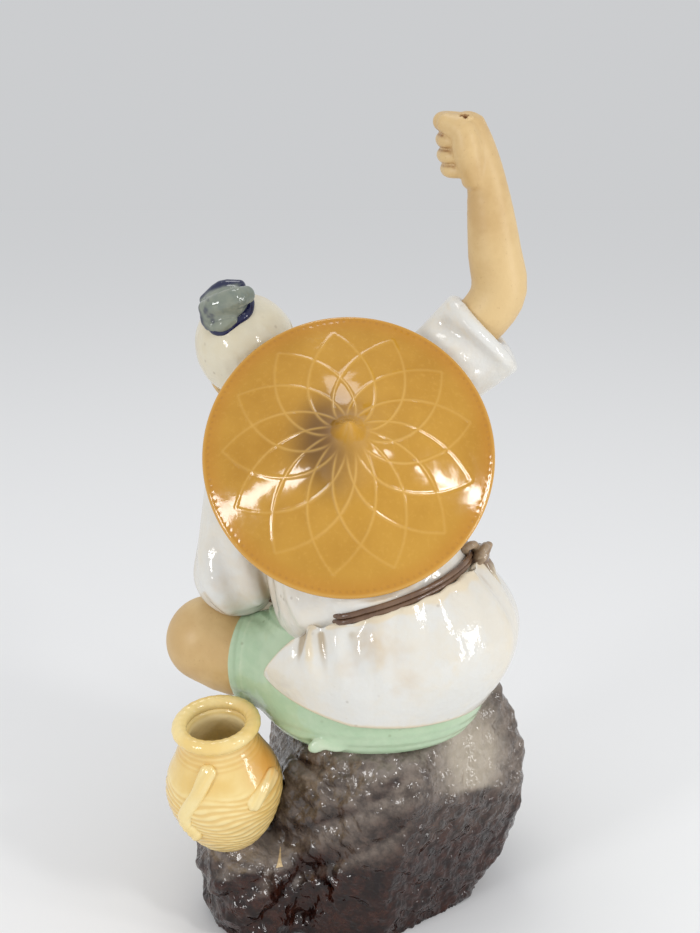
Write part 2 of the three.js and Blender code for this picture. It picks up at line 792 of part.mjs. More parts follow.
const onBun = (x, y, z) =>
  new THREE.Vector3(x, y, z)
    .applyQuaternion(bunTurn)
    .add(new THREE.Vector3(...onHead(0, 2, HEAD_HEIGHT * 0.1)))
    .toArray();
const bunWay = new THREE.Vector3(0, 0, 1)
  .applyQuaternion(turnAbout(BACK, -BUN_SIDE).multiply(turnAbout(SIDE, -BUN_BACK)))
  .divide(new THREE.Vector3(HEAD_WIDTH / 2, HEAD_DEPTH / 2, HEAD_HEIGHT * 0.4));
const bunBase = 1 / bunWay.length() + HAIR_THICKNESS - GAP;
const bunLump = (at, sizes, grow) => ball(onBun(...at), sizes, grow, bunTurn, 9);
const topknotTie = (grow = 0) =>
  bunLump([0, 0, bunBase - 0.4], [TOPKNOT_WIDTH * 0.46, TOPKNOT_WIDTH * 0.42, 3], grow);
const topknot = () => {
  const [w, h] = [TOPKNOT_WIDTH, TOPKNOT_HEIGHT];
  return joined(
    bunLump([0, 0, bunBase + 4], [w * 0.42, w * 0.36, h * 0.4], 0),
    bunLump([-3.4, -1, bunBase + h * 0.56], [w * 0.3, 5.6, 3.6], 0),
    bunLump([3.6, 1, bunBase + h * 0.5], [w * 0.26, 5.4, 4.2], 0),
  );
};
const beard = () =>
  limb({
    stations: [
      { at: onHead(0, -11, -HEAD_HEIGHT * 0.27), wide: 9, deep: 6 },
      { at: onHead(0, -13, -HEAD_HEIGHT * 0.27 - BEARD_LENGTH * 0.3), wide: 8.4, deep: 5 },
      { at: onHead(0, -12, -HEAD_HEIGHT * 0.27 - BEARD_LENGTH * 0.65), wide: 5.6, deep: 3.6 },
      { at: onHead(0, -9, -HEAD_HEIGHT * 0.27 - BEARD_LENGTH), wide: 1.8, deep: 1.6 },
    ],
    relief: (point, angle) => 0.45 * Math.cos(4 * angle),
    sides: 12,
    steps: 5,
  });

// Hat: a thin concave cone with a small nipple at its tip
const hatMatrix = new THREE.Matrix4().compose(
  new THREE.Vector3(...HAT_CENTRE),
  turnAbout(SIDE, -HAT_TILT),
  new THREE.Vector3(1, 1, 1),
);
const hatRise = (share) => HAT_HEIGHT * (0.62 * (1 - share) + 0.38 * (1 - share) ** 5);
const hat = (grow = 0) => {
  const radii = [1, 0.985, 0.75, 0.5, 0.3, 0.16, 0.07];
  const outer = radii.map((k) => [k * HAT_RADIUS + grow * k, hatRise(k) + grow]);
  const inner = radii.map((k) => [
    Math.max(0.2, k * HAT_RADIUS - (k < 1 ? 0 : 0.4)) + grow * k,
    hatRise(k) - HAT_WALL * (k < 1 ? 1 : 0.5) - grow,
  ]);
  return turned(
    [[0, HAT_HEIGHT + grow], ...outer.reverse(), ...inner, [0, hatRise(0) - HAT_WALL * 1.6 - grow]],
    hatMatrix,
    36,
  );
};

// Belt: a cord laid double round the waist, rising to the right side
const beltPoint = (angle, lift) =>
  new THREE.Vector3(
    WAIST[0] + Math.cos(angle) * (WAIST_WIDTH / 2 + 1.6),
    WAIST[1] + Math.sin(angle) * (WAIST_DEPTH / 2 + 1.6),
    WAIST[2] + 1 + lift - BELT_RISE * Math.cos(angle) * (WAIST_WIDTH / 2),
  );
const beltCord = (lift, grow) => {
  const turns = 22;
  const rings = Array.from({ length: turns }, (_, i) => {
    const angle = (2 * Math.PI * i) / turns;
    const centre = beltPoint(angle, lift);
    const out = new THREE.Vector3(Math.cos(angle), Math.sin(angle), 0);
    const radius = BELT_CORD_RADIUS + grow;
    return Array.from({ length: 5 }, (_, j) => {
      const around = (2 * Math.PI * j) / 5;
      return centre
        .clone()
        .addScaledVector(out, Math.cos(around) * radius)
        .addScaledVector(UP, Math.sin(around) * radius);
    });
  });
  return skin(rings, true);
};
const belt = (grow = 0) =>
  joined(beltCord(-0.85 * BELT_CORD_RADIUS, grow), beltCord(0.85 * BELT_CORD_RADIUS, grow));
const knotAt = beltPoint(Math.PI * 0.97, 0);
const beltKnot = () => {
  const at = knotAt.toArray();
  return joined(
    ball(at, [KNOT_RADIUS * 0.8, KNOT_RADIUS, KNOT_RADIUS * 0.8], 0, undefined, 12),
    finger([at, shift(at, -4, 3, 4), shift(at, -2, 5, 1)], KNOT_RADIUS * 0.4),
    finger([at, shift(at, -3, -4, -5), shift(at, -4, -6, -12)], KNOT_RADIUS * 0.42),
    finger([at, shift(at, -3, 1, -6), shift(at, -5, 0, -11)], KNOT_RADIUS * 0.38),
  );
};

// Collar: a raised band of the robe that borders the opening at the neck and chest
const collar = () =>
  robeBody(COLLAR_THICKNESS).intersect(chestAndNeck(COLLAR_WIDTH));

// Creel: a round hollow basket with a rolled rim, leaning a little
const creelMatrix = new THREE.Matrix4().compose(
  new THREE.Vector3(...CREEL_FOOT),
  new THREE.Quaternion().setFromEuler(
    new THREE.Euler(
      THREE.MathUtils.degToRad(-CREEL_LEAN_BACK),
      THREE.MathUtils.degToRad(CREEL_LEAN_SIDE),
      0,
    ),
  ),
  new THREE.Vector3(1, 1, 1),
);
const creelOuter = [
  [0.04, CREEL_BASE],
  [0.2, CREEL_BELLY - 3.4],
  [0.42, CREEL_BELLY],
  [0.58, CREEL_BELLY - 1],
  [0.74, CREEL_NECK + 2.4],
  [0.86, CREEL_NECK],
  [0.93, CREEL_NECK + 0.4],
];
const creelBody = (grow = 0) =>
  turned(
    [
      [0, -grow],
      [CREEL_BASE - 1 + grow, -grow],
      ...creelOuter.map(([share, r]) => [r + grow, share * CREEL_HEIGHT]),
      [0, 0.93 * CREEL_HEIGHT + grow],
    ],
    creelMatrix,
    22,
  );
const creelHollow = () =>
  turned(
    [
      [0, CREEL_WALL],
      [CREEL_BASE - CREEL_WALL, CREEL_WALL],
      ...creelOuter.slice(1, 5).map(([share, r]) => [r - CREEL_WALL, share * CREEL_HEIGHT]),
      [CREEL_MOUTH, 0.86 * CREEL_HEIGHT],
      [CREEL_MOUTH, 1.2 * CREEL_HEIGHT],
      [0, 1.2 * CREEL_HEIGHT],
    ],
    creelMatrix,
    22,
  );
const creelRim = (grow = 0) => {
  const middle = CREEL_MOUTH + 0.4 + CREEL_RIM_TUBE * 0.6;
  const profile = Array.from({ length: 9 }, (_, k) => {
    const angle = (2 * Math.PI * k) / 8;
    return [
      middle + Math.cos(angle) * (CREEL_RIM_TUBE * 0.75 + grow),
      0.96 * CREEL_HEIGHT + Math.sin(angle) * (CREEL_RIM_TUBE * 0.7 + grow),
    ];
  });
  return turned(profile, creelMatrix, 22);
};
const onCreel = (angle, share, radius) =>
  new THREE.Vector3(
    Math.cos(angle) * radius,
    Math.sin(angle) * radius,
    share * CREEL_HEIGHT,
  )
    .applyMatrix4(creelMatrix)
    .toArray();
const strap = (route) =>
  limb({
    stations: route.map(([degrees, share, radius]) => ({
      at: onCreel(THREE.MathUtils.degToRad(degrees), share, radius),
      wide: STRAP_WIDTH / 2,
      deep: STRAP_THICKNESS,
    })),
    sides: 6,
    steps: 6,
    side: new THREE.Vector3(1, 0, 0.3),
    cap: 0.4,
  });
const leftStrap = () =>
  strap([
    [80, 0.79, CREEL_BELLY - 4.6],
    [68, 0.64, CREEL_BELLY - 1.5],
    [52, 0.44, CREEL_BELLY + 0.5],
    [60, 0.31, CREEL_BELLY - 0.8],
  ]);
const rightStrap = () =>
  strap([
    [127, 0.53, CREEL_BELLY],
    [142, 0.585, CREEL_BELLY - 0.4],
    [160, 0.61, CREEL_BELLY - 0.7],
  ]);

// Cut every piece by its neighbours, which leaves the clearance between them
const cutCreel = joined(creelBody(GAP), creelRim(GAP));
const pieces = {
  hat: hat(),
  right_leg: cut(rightLeg(), rightFoot(GAP)),
  right_foot: rightFoot(),
  left_foot: cut(leftFoot(), rightLeg(GAP)),
  left_leg: cut(leftLeg(), leftFoot(GAP), cutCreel),
};
pieces.trousers = cut(
  trousers(),
  leftCuffHollow(),
  rightCuffHollow(),
  leftLeg(GAP),
  rightLeg(GAP),
  leftFoot(GAP),
  cutCreel,
  hat(GAP),
);
pieces.chest_and_neck = cut(chestAndNeck(), head(GAP), hat(GAP));
pieces.robe_body = cut(robeBody(), chestAndNeck(GAP), hat(GAP), head(GAP), trousers(GAP));
pieces.robe_skirt = cut(
  skirt(),
  robeBody(GAP),
  trousers(GAP),
  hat(GAP),
  leftLeg(GAP),
  rightLeg(GAP),
  leftFoot(GAP),
);
pieces.right_arm = rightArm();
pieces.right_hand = cut(rightHand(), rightArm(GAP), rodHole());
pieces.right_sleeve = cut(
  rightSleeve(),
  rightSleeveMouth(),
  rightArm(GAP),
  robeBody(GAP),
  chestAndNeck(GAP),
  hat(GAP),
);
pieces.left_arm = cut(leftArm(), leftLeg(GAP));
pieces.left_hand = cut(leftHand(), leftArm(GAP), leftLeg(GAP));
pieces.left_sleeve = cut(
  leftSleeve(),
  leftSleeveMouth(),
  leftArm(GAP),
  robeBody(GAP),
  chestAndNeck(GAP),
  hat(GAP),
  trousers(GAP),
  skirt(GAP),
  leftLeg(GAP),
);
pieces.head = cut(head(), hat(GAP));
pieces.hair = cut(skull(HAIR_THICKNESS), faceOpening(), head(GAP), chestAndNeck(GAP), hat(GAP));
pieces.topknot_tie = cut(topknotTie(), skull(HAIR_THICKNESS + GAP));
pieces.topknot = cut(topknot(), topknotTie(GAP), skull(HAIR_THICKNESS + GAP));
pieces.beard = cut(beard(), head(GAP), chestAndNeck(GAP), robeBody(GAP), leftSleeve(GAP));
pieces.robe_collar = cut(
  collar(),
  chestAndNeck(GAP),
  robeBody(GAP),
  head(GAP),
  hat(GAP),
  leftSleeve(2 * GAP),
  rightSleeve(2 * GAP),
);
pieces.belt_cord = cut(
  belt(),
  robeBody(GAP),
  skirt(GAP),
  hat(GAP),
  leftSleeve(GAP),
);
pieces.belt_knot = cut(beltKnot(), belt(GAP), robeBody(GAP), skirt(GAP));
pieces.creel_body = cut(creelBody(), creelHollow(), creelRim(GAP));
pieces.creel_rim = creelRim();
pieces.creel_strap_left = cut(leftStrap(), creelBody(GAP));
pieces.creel_strap_right = cut(rightStrap(), creelBody(GAP));
pieces.rock_base = cut(
  joined(cut(boulder(), ...ROCK_FACES.map(splitFace)), ledge(), footStep()),
  rockHollow(),
  belowFloor(),
  trousers(GAP),
  leftLeg(GAP),
  leftFoot(GAP),
  rightLeg(GAP),
  rightFoot(GAP),
  skirt(GAP),
  cutCreel,
  leftStrap(),
);

// Colours and sheen of the glazes, one for each piece
const GLAZES = {
  hat: [0xc8963c, 0.12],
  robe: [0xe1e1dc, 0.15],
  trousers: [0xa5c8a5, 0.15],
  skin: [0xc8aa73, 0.5],
  hair: [0xe0dccb, 0.25],
  topknot: [0x78827d, 0.15],
  topknot_tie: [0x1e234b, 0.15],
  belt: [0x5a4637, 0.4],
  creel: [0xebd28c, 0.2],
  rock: [0x5a4a3e, 0.25],
};
const GLAZE_OF = {
  hat: "hat",
  robe_body: "robe",
  robe_skirt: "robe",
  robe_collar: "robe",
  right_sleeve: "robe",
  left_sleeve: "robe",
  trousers: "trousers",
  hair: "hair",
  beard: "hair",
  topknot: "topknot",
  topknot_tie: "topknot_tie",
  belt_cord: "belt",
  belt_knot: "belt",
  creel_body: "creel",
  creel_rim: "creel",
  creel_strap_left: "creel",
  creel_strap_right: "creel",
  rock_base: "rock",
};

function meshOf(name, piece) {
  const { vertProperties, triVerts } = piece.getMesh();
  const geometry = new THREE.BufferGeometry();
  geometry.setAttribute("position", new THREE.BufferAttribute(vertProperties, 3));
  geometry.setIndex(new THREE.BufferAttribute(triVerts, 1));
  geometry.computeVertexNormals();
  const [color, roughness] = GLAZES[GLAZE_OF[name] ?? "skin"];
  const mesh = new THREE.Mesh(
    geometry,
    new THREE.MeshStandardMaterial({ color, roughness, metalness: 0 }),
  );
  mesh.name = name;
  return mesh;
}

const group = new THREE.Group();
for (const [name, piece] of Object.entries(pieces)) {
  group.add(meshOf(name, piece));
}
const bounds = new THREE.Box3().setFromObject(group);
const middle = bounds.getCenter(new THREE.Vector3());
group.position.set(-middle.x, -middle.y, -bounds.min.z);

export default group;
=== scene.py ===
"""A seated fisherman in glazed stoneware, seen from behind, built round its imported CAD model."""

import math
from concurrent.futures import ThreadPoolExecutor

import bpy
import bmesh
import numpy as np
from mathutils import Matrix, Vector, noise


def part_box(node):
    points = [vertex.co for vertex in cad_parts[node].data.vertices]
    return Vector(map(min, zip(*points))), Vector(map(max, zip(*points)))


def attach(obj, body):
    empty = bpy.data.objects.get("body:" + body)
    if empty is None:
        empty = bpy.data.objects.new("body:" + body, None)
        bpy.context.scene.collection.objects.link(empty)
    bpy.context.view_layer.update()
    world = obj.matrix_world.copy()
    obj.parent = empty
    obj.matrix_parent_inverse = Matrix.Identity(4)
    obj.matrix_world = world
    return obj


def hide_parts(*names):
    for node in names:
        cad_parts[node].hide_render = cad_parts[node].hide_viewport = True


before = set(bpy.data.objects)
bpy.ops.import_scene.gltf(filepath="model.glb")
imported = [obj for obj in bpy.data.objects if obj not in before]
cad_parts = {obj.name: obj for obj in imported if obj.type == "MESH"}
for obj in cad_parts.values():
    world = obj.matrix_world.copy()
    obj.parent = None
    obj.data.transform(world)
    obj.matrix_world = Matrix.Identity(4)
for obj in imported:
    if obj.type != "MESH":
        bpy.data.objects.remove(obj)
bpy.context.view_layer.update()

# Camera, floor and light
# The figurine is looked down on from behind, at 15 degrees, from about 47 cm away. It stands on a
# plain pale floor, under a soft overhead light and between soft boxes at its sides.
scene = bpy.context.scene
scene.view_settings.view_transform = "Standard"


def placed(name, data):
    """A new object in the scene."""
    made = bpy.data.objects.new(name, data)
    scene.collection.objects.link(made)
    return made


camera_data = bpy.data.cameras.new("camera")
camera_data.sensor_fit = "VERTICAL"
camera_data.sensor_height = 36
camera_data.lens = 54.0
camera = placed("camera", camera_data)
camera.location = (-0.0007, 0.4686, 0.2809)
camera.rotation_euler = (math.radians(75), 0, math.radians(180))
scene.camera = camera


class Socket:
    """One output of a node. Python's operators on it add Math nodes to its tree."""

    def __init__(self, tree, output):
        self.tree = tree
        self.output = output

    def __getitem__(self, name):
        return Socket(self.tree, self.output.node.outputs[name])

    def math(self, operation, *values):
        return self.tree.node("ShaderNodeMath", dict(enumerate(values)), operation=operation)

    def __add__(self, other):
        return self.math("ADD", self, other)

    def __radd__(self, other):
        return self.math("ADD", other, self)

    def __sub__(self, other):
        return self.math("SUBTRACT", self, other)

    def __rsub__(self, other):
        return self.math("SUBTRACT", other, self)

    def __mul__(self, other):
        return self.math("MULTIPLY", self, other)

    def __rmul__(self, other):
        return self.math("MULTIPLY", other, self)

    def __truediv__(self, other):
        return self.math("DIVIDE", self, other)

    def __rtruediv__(self, other):
        return self.math("DIVIDE", other, self)

    def __pow__(self, other):
        return self.math("POWER", self, other)

    def __rpow__(self, other):
        return self.math("POWER", other, self)

    def curve(self, operation):
        """A Math node of this value alone, such as its sine."""
        return self.math(operation, self)

    def most(self, other):
        """The larger of two values."""
        return self.math("MAXIMUM", self, other)

    def clamped(self):
        return self.tree.node("ShaderNodeClamp", {0: self, 1: 0.0, 2: 1.0})

    def between(self, low, high):
        """0 below low, 1 above high, and smooth in between."""
        limits = {0: self, 1: low, 2: high}
        return self.tree.node("ShaderNodeMapRange", limits, interpolation_type="SMOOTHSTEP")


class Tree:
    """A node tree of a material or of Geometry Nodes."""

    def __init__(self, nodes):
        self.nodes = nodes

    def node(self, kind, sockets=None, **settings):
        """A new node with its inputs and settings, as a socket of its first output."""
        made = self.nodes.nodes.new(kind)
        for name, value in settings.items():
            setattr(made, name, value)
        for name, value in (sockets or {}).items():
            if isinstance(value, Socket):
                self.nodes.links.new(value.output, made.inputs[name])
            else:
                made.inputs[name].default_value = value
        shown = [output for output in made.outputs if output.enabled]
        return Socket(self, shown[0]) if shown else None

    def mix(self, share, first, second):
        """A blend of two colours, each a colour or a socket."""
        colors = [c if isinstance(c, Socket) else (*c, 1) for c in (first, second)]
        return self.node("ShaderNodeMix", {0: share, 6: colors[0], 7: colors[1]}, data_type="RGBA")

    def coated(self, color, *coats):
        """A colour under coats of others, each given by its share and its colour from 0 to 255."""
        for share, *coat in coats:
            color = self.mix(share, color, srgb(*coat))
        return color

    def place(self):
        """Places on the object, as its shader sees them."""
        return self.node("ShaderNodeTexCoord")["Object"]

    def axes(self, vector):
        return self.node("ShaderNodeSeparateXYZ", {0: vector})

    def distance(self, spot):
        """How far places are from a spot."""
        return self.node("ShaderNodeVectorMath", {0: self.place(), 1: spot}, operation="DISTANCE")["Value"]

    def noise(self, scale, detail, roughness):
        """Cloudy noise from 0 to 1 at so many patches to the metre."""
        sockets = {"Vector": self.place(), "Scale": scale, "Detail": detail, "Roughness": roughness}
        return self.node("ShaderNodeTexNoise", sockets)

    def bump(self, strength, distance, height):
        return self.node("ShaderNodeBump", {"Strength": strength, "Distance": distance, "Height": height})

    def attribute(self, name):
        return self.node("ShaderNodeAttribute", attribute_name=name)["Fac"]

    def change(self, geometry, step, **sockets):
        """Geometry after one more step of Geometry Nodes."""
        return self.node("GeometryNode" + step, {"Geometry": geometry, **sockets})


def emptied(owner):
    """The tree of a new material or world, emptied of its nodes."""
    owner.use_nodes = True
    owner.node_tree.nodes.clear()
    return Tree(owner.node_tree)


def material(name):
    """A new material and its tree."""
    made = bpy.data.materials.new(name)
    return made, emptied(made)


def surface(tree, color, roughness, shine, **more):
    """Ends a material in one Principled shader."""
    sockets = {"Base Color": color, "Roughness": roughness, "Specular IOR Level": shine, **more}
    tree.node("ShaderNodeOutputMaterial", {"Surface": tree.node("ShaderNodeBsdfPrincipled", sockets)})


def srgb(red, green, blue):
    """A colour from 0 to 255 as the linear colour that a shader takes."""
    return tuple((v / 255) ** 2.2 for v in (red, green, blue))


FLOOR_SHADE = 0.86
ROOM_LIGHT = (0.7, 0.71, 0.725)
floor_paint, tree = material("floor_paint")
surface(tree, (FLOOR_SHADE, FLOOR_SHADE, FLOOR_SHADE, 1), 0.9, 0.0)
floor_mesh = bpy.data.meshes.new("floor")
floor_mesh.from_pydata([(-3, -3, 0), (3, -3, 0), (3, 3, 0), (-3, 3, 0)], [], [(0, 1, 2, 3)])
floor_mesh.materials.append(floor_paint)
floor = placed("floor", floor_mesh)


def soft_box(name, place, aim, width, height, power):
    """A rectangular lamp at place that points to aim."""
    lamp = bpy.data.lights.new(name, "AREA")
    lamp.shape = "RECTANGLE"
    lamp.size = width
    lamp.size_y = height
    lamp.energy = power
    stand = placed(name, lamp)
    stand.location = place
    stand.rotation_euler = (Vector(aim) - Vector(place)).to_track_quat("-Z", "Y").to_euler()


soft_box("window_light", (0.75, 0.75, 0.42), (0, 0.02, 0.13), 0.2, 0.3, 2.8)
soft_box("side_light", (-0.62, 0.62, 0.62), (0, 0.02, 0.15), 0.12, 0.22, 1.9)
soft_box("top_light", (0.1, -0.3, 1.25), (0, 0, 0.12), 0.4, 0.4, 1.9)
soft_box("low_light", (-0.62, 0.3, 0.16), (0, 0, 0.06), 0.08, 0.3, 0.9)

scene.world = bpy.data.worlds.new("room")
tree = emptied(scene.world)
room = tree.node("ShaderNodeBackground", {"Color": (*ROOM_LIGHT, 1)})
far_floor = tuple(light * FLOOR_SHADE for light in ROOM_LIGHT)
backdrop = tree.node("ShaderNodeBackground", {"Color": (*far_floor, 1)})
seen = tree.node("ShaderNodeLightPath")["Is Camera Ray"]
view = tree.node("ShaderNodeMixShader", {0: seen, 1: room, 2: backdrop})
tree.node("ShaderNodeOutputWorld", {"Surface": view})


# Rock base
# A hollow boulder pressed in coarse clay, open underneath, with a low ledge for the creel and a
# step for the foot. Its glaze runs from thin grey on top to thick dark brown below, and painted
# light and shade add to that: paler on faces turned up, darker low down, on faces turned down and
# in its hollows.
SHIFT = np.array([-1.2594, 7.4729, 0.0])


def smooth_path(rows, steps=4):
    """Rows of numbers with steps more between each pair, on a smooth curve through them."""
    rows = np.array(rows, float)
    ends = np.vstack([2 * rows[0] - rows[1], rows, 2 * rows[-1] - rows[-2]])
    out = []
    for a, b, c, d in zip(ends[:-3], ends[1:-2], ends[2:-1], ends[3:]):
        for t in np.arange(steps) / steps:
            out.append(
                0.5 * (2 * b + (c - a) * t + (2 * a - 5 * b + 4 * c - d) * t**2)
                + 0.5 * (3 * b - a - 3 * c + d) * t**3
            )
    return np.array(out + [rows[-1]])


def unit(v):
    return v / np.maximum(np.linalg.norm(v, axis=-1), 1e-9)[..., None]


def round_limb(p, rows, cap, steps):
    """Distance in mm from points p to a round limb through rows of x, y, z, radius."""
    rows = smooth_path(rows, steps).astype(np.float32)
    best = np.full(len(p), 1e3, np.float32)
    last = len(rows) - 2
    for i, (a, b) in enumerate(zip(rows[:-1], rows[1:])):
        along = b[:3] - a[:3]
        length = np.linalg.norm(along)
        q = p - a[:3]
        share = q @ along / length**2
        held = np.clip(share, 0, 1)
        off = q - held[:, None] * along
        radius = a[3] + (b[3] - a[3]) * held
        far = np.sqrt((off**2).sum(1)) - radius
        past = (i == 0) & (share < 0) | (i == last) & (share > 1)
        over = (share - held)[past] * length
        beside = np.sqrt(np.maximum((off[past] ** 2).sum(1) - over**2, 0))
        far[past] = oval([beside, over], [radius[past], cap * radius[past]])
        best = np.minimum(best, far)
    return best


def limb(p, rows, cap=0.6, steps=3):
    """Distance in mm from points p to a limb through rows of x, y, z, half width, half depth.

    Its sections stand square to its path, their width as near to the X axis as they can lie.
    Rows without a depth make a round limb.
    """
    if all(len(row) == 4 for row in rows):
        return round_limb(p, rows, cap, steps)
    rows = smooth_path(rows, steps).astype(np.float32)
    ways = unit(np.gradient(rows[:, :3], axis=0))
    side = np.array((1, 0, 0), np.float32)
    middles = (rows[:-1, :3] + rows[1:, :3]) / 2
    spans = np.linalg.norm(rows[1:, :3] - rows[:-1, :3], axis=1) / 2
    spans = spans + np.maximum(rows[:-1], rows[1:])[:, 3:].max(1)
    away = np.stack([np.linalg.norm(p - middle, axis=1) for middle in middles])
    nearest = away.min(0) + 1
    best = np.full(len(p), 1e3, np.float32)
    last = len(rows) - 2
    for i, (a, b) in enumerate(zip(rows[:-1], rows[1:])):
        close = np.flatnonzero(away[i] - spans[i] < nearest)
        along, first, change = b[:3] - a[:3], ways[i], ways[i + 1] - ways[i]
        q = p[close] - a[:3]
        flat, bend, lift = -along @ change, q @ change - along @ first, q @ first
        bend = np.minimum(bend, -1e-3)
        share = np.clip(-lift / bend, 0, 1)
        share = np.clip(-lift / np.minimum(bend + share * flat, -1e-3), 0, 1)
        way = unit(first + share[:, None] * change)
        off = q - share[:, None] * along
        over = (off * way).sum(1)
        across = unit(side - way * (way @ side)[:, None])
        depth = np.cross(way, across)
        wide, deep = a[3] + (b[3] - a[3]) * share, a[4] + (b[4] - a[4]) * share
        at_end = (i == 0) & (over < 0) | (i == last) & (over > 0)
        round_off = np.where(at_end, np.float32(cap), np.float32(0.3)) * np.minimum(wide, deep)
        parts = [(off * across).sum(1), (off * depth).sum(1), over]
        best[close] = np.minimum(best[close], oval(parts, [wide, deep, round_off]))
    return best


def stack(p, rows):
    """Distance to a form through rows of x, y, z, half width, half depth, all its sections parallel."""
    rows = np.array(rows, np.float32)
    way = unit(rows[-1, :3] - rows[0, :3])
    across = unit(np.array([1, 0, 0], np.float32) - way * way[0])
    levels = (rows[:, :3] - rows[0, :3]) @ way
    level = (p - rows[0, :3]) @ way
    x, y, z, wide, deep = [np.interp(level, levels, rows[:, i]) for i in range(5)]
    off = p - np.stack([x, y, z], 1)
    sides = oval([off @ across, off @ np.cross(way, across)], [wide, deep])
    return -merge(-sides, levels[-1] - level, 3.0)


def oval(parts, sizes):
    """Distance to an ellipsoid, from a point's parts along its axes and its half sizes."""
    first = np.sqrt(sum((x / s) ** 2 for x, s in zip(parts, sizes)))
    second = np.sqrt(sum((x / s**2) ** 2 for x, s in zip(parts, sizes)))
    return first * (first - 1) / np.maximum(second, 1e-6)


def ball(p, at, sizes, turn=None):
    """Distance to an ellipsoid at a place, turned by an optional matrix."""
    q = p - np.array(at, np.float32)
    if turn is not None:
        q = q @ turn.astype(np.float32)
    return oval([q[:, 0], q[:, 1], q[:, 2]], sizes)


def merge(a, b, soft=3.0):
    """Two forms luted together, with clay smoothed into the joint over so many mm."""
    h = np.clip(0.5 + 0.5 * (b - a) / soft, 0, 1)
    return b + (a - b) * h - soft * h * (1 - h)


def carve(a, b, soft=1.0):
    """The first form with the second taken out of it."""
    return -merge(-a, b, soft)


def fold(p, path, width, height, fade=0.0):
    """A raised line along a path, so many mm wide and high; negative heights press it in.

    With a fade of 1 it runs out at the end of its path.
    """
    path = np.array(path, np.float32)
    middle = path.mean(0)
    reach = np.linalg.norm(path - middle, axis=1).max() + 3 * width
    close = np.flatnonzero(((p - middle) ** 2).sum(1) < reach**2)
    best = np.full(len(close), 1e3, np.float32)
    gone = np.zeros(len(close), np.float32)
    for k, (a, b) in enumerate(zip(path[:-1], path[1:])):
        along = b - a
        q = p[close] - a
        share = np.clip(q @ along / (along @ along), 0, 1)
        far = np.linalg.norm(q - share[:, None] * along, axis=1)
        gone = np.where(far < best, (k + share) / (len(path) - 1), gone)
        best = np.minimum(best, far)
    raised = np.zeros(len(p), np.float32)
    raised[close] = height * (1 - fade * gone**1.5) * np.exp(-((best / width) ** 2))
    return raised


def folded(p, form, folds):
    """The form with folds in it, each given by its path, width and height."""
    for row in folds:
        form = form + fold(p, *row)
    return form


def turned(axis, degrees):
    """A rotation about an axis, as a numpy matrix."""
    return np.array(Matrix.Rotation(math.radians(degrees), 3, Vector(axis)))


BLOCK = 4
CORNERS = np.array([(i, j, k) for i in (0, 1) for j in (0, 1) for k in (0, 1)])
CELL_EDGES = [(a, b) for a in range(8) for b in range(a, 8) if abs(CORNERS[a] - CORNERS[b]).sum() == 1]


def measure(form, points):
    """Distances of many points, worked out in parts side by side."""
    parts = np.array_split(points.astype(np.float32), max(1, len(points) // 12000))
    with ThreadPoolExecutor() as pool:
        return np.concatenate(list(pool.map(form, parts)))


def lattice(form, low, count, step):
    """Distances on a grid of points, worked out finely only near the surface."""
    blocks = -(-count // BLOCK)
    middles = np.stack(np.meshgrid(*[np.arange(n) for n in blocks], indexing="ij"), -1)
    middles = low + (middles * BLOCK + (BLOCK - 1) / 2) * step
    values = measure(form, middles.reshape(-1, 3)).reshape(blocks)
    for axis in range(3):
        values = np.repeat(values, BLOCK, axis)
    values = values[: count[0], : count[1], : count[2]].copy()
    close = np.argwhere(np.abs(values) < BLOCK * step * 1.3)
    values[tuple(close.T)] = measure(form, low + close * step)
    return values


def net(values, low, step):
    """The surface where the distances change sign: its points and its four-sided faces."""
    solid = values < 0
    shape = np.array(values.shape) - 1
    whole = solid.astype(np.int8)
    inside = sum(whole[i : i + shape[0], j : j + shape[1], k : k + shape[2]] for i, j, k in CORNERS)
    cells = np.argwhere((inside > 0) & (inside < 8))
    at_corner = np.stack([values[tuple((cells + c).T)] for c in CORNERS], 1)
    total = np.zeros((len(cells), 3))
    hits = np.zeros(len(cells))
    for a, b in CELL_EDGES:
        first, second = at_corner[:, a], at_corner[:, b]
        crossed = (first < 0) != (second < 0)
        share = np.where(crossed, first / np.where(crossed, first - second, 1), 0)
        place = CORNERS[a] + share[:, None] * (CORNERS[b] - CORNERS[a])
        total += place * crossed[:, None]
        hits += crossed
    points = low + (cells + total / hits[:, None]) * step
    ids = np.full(shape, -1)
    ids[tuple(cells.T)] = np.arange(len(cells))
    faces = []
    for axis in range(3):
        b, c = np.eye(3, dtype=int)[[(axis + 1) % 3, (axis + 2) % 3]]
        ahead = np.eye(3, dtype=int)[axis]
        inner = solid[: shape[0] + 1 - ahead[0], : shape[1] + 1 - ahead[1], : shape[2] + 1 - ahead[2]]
        outer = solid[ahead[0] :, ahead[1] :, ahead[2] :]
        starts = np.argwhere(inner != outer)
        starts = starts[((starts * (b + c)) >= (b + c)).all(1) & (starts < shape).all(1)]
        ring = np.stack([ids[tuple((starts - s).T)] for s in (b + c, c, 0 * b, b)], 1)
        leaving = solid[tuple(starts.T)]
        faces.append(np.where(leaving[:, None], ring, ring[:, ::-1]))
    return points, np.vstack(faces)


def point_normals(points, faces):
    """The direction out of a closed mesh of four-sided faces at each of its points."""
    a, b, c, d = [points[faces[:, i]] for i in range(4)]
    flat = np.cross(c - a, d - b)
    total = [sum(np.bincount(faces[:, i], flat[:, k], len(points)) for i in range(4)) for k in range(3)]
    return unit(np.stack(total, 1))


def neighbours(points, faces):
    """The mean of each point's neighbours in a mesh of four-sided faces."""
    pairs = np.vstack([faces[:, [i, (i + 1) % 4]] for i in range(4)])
    pairs = np.vstack([pairs, pairs[:, ::-1]])
    count = np.maximum(np.bincount(pairs[:, 0], minlength=len(points)), 1)
    sums = [np.bincount(pairs[:, 0], points[pairs[:, 1], k], len(points)) for k in range(3)]
    return np.stack(sums, 1) / count[:, None]


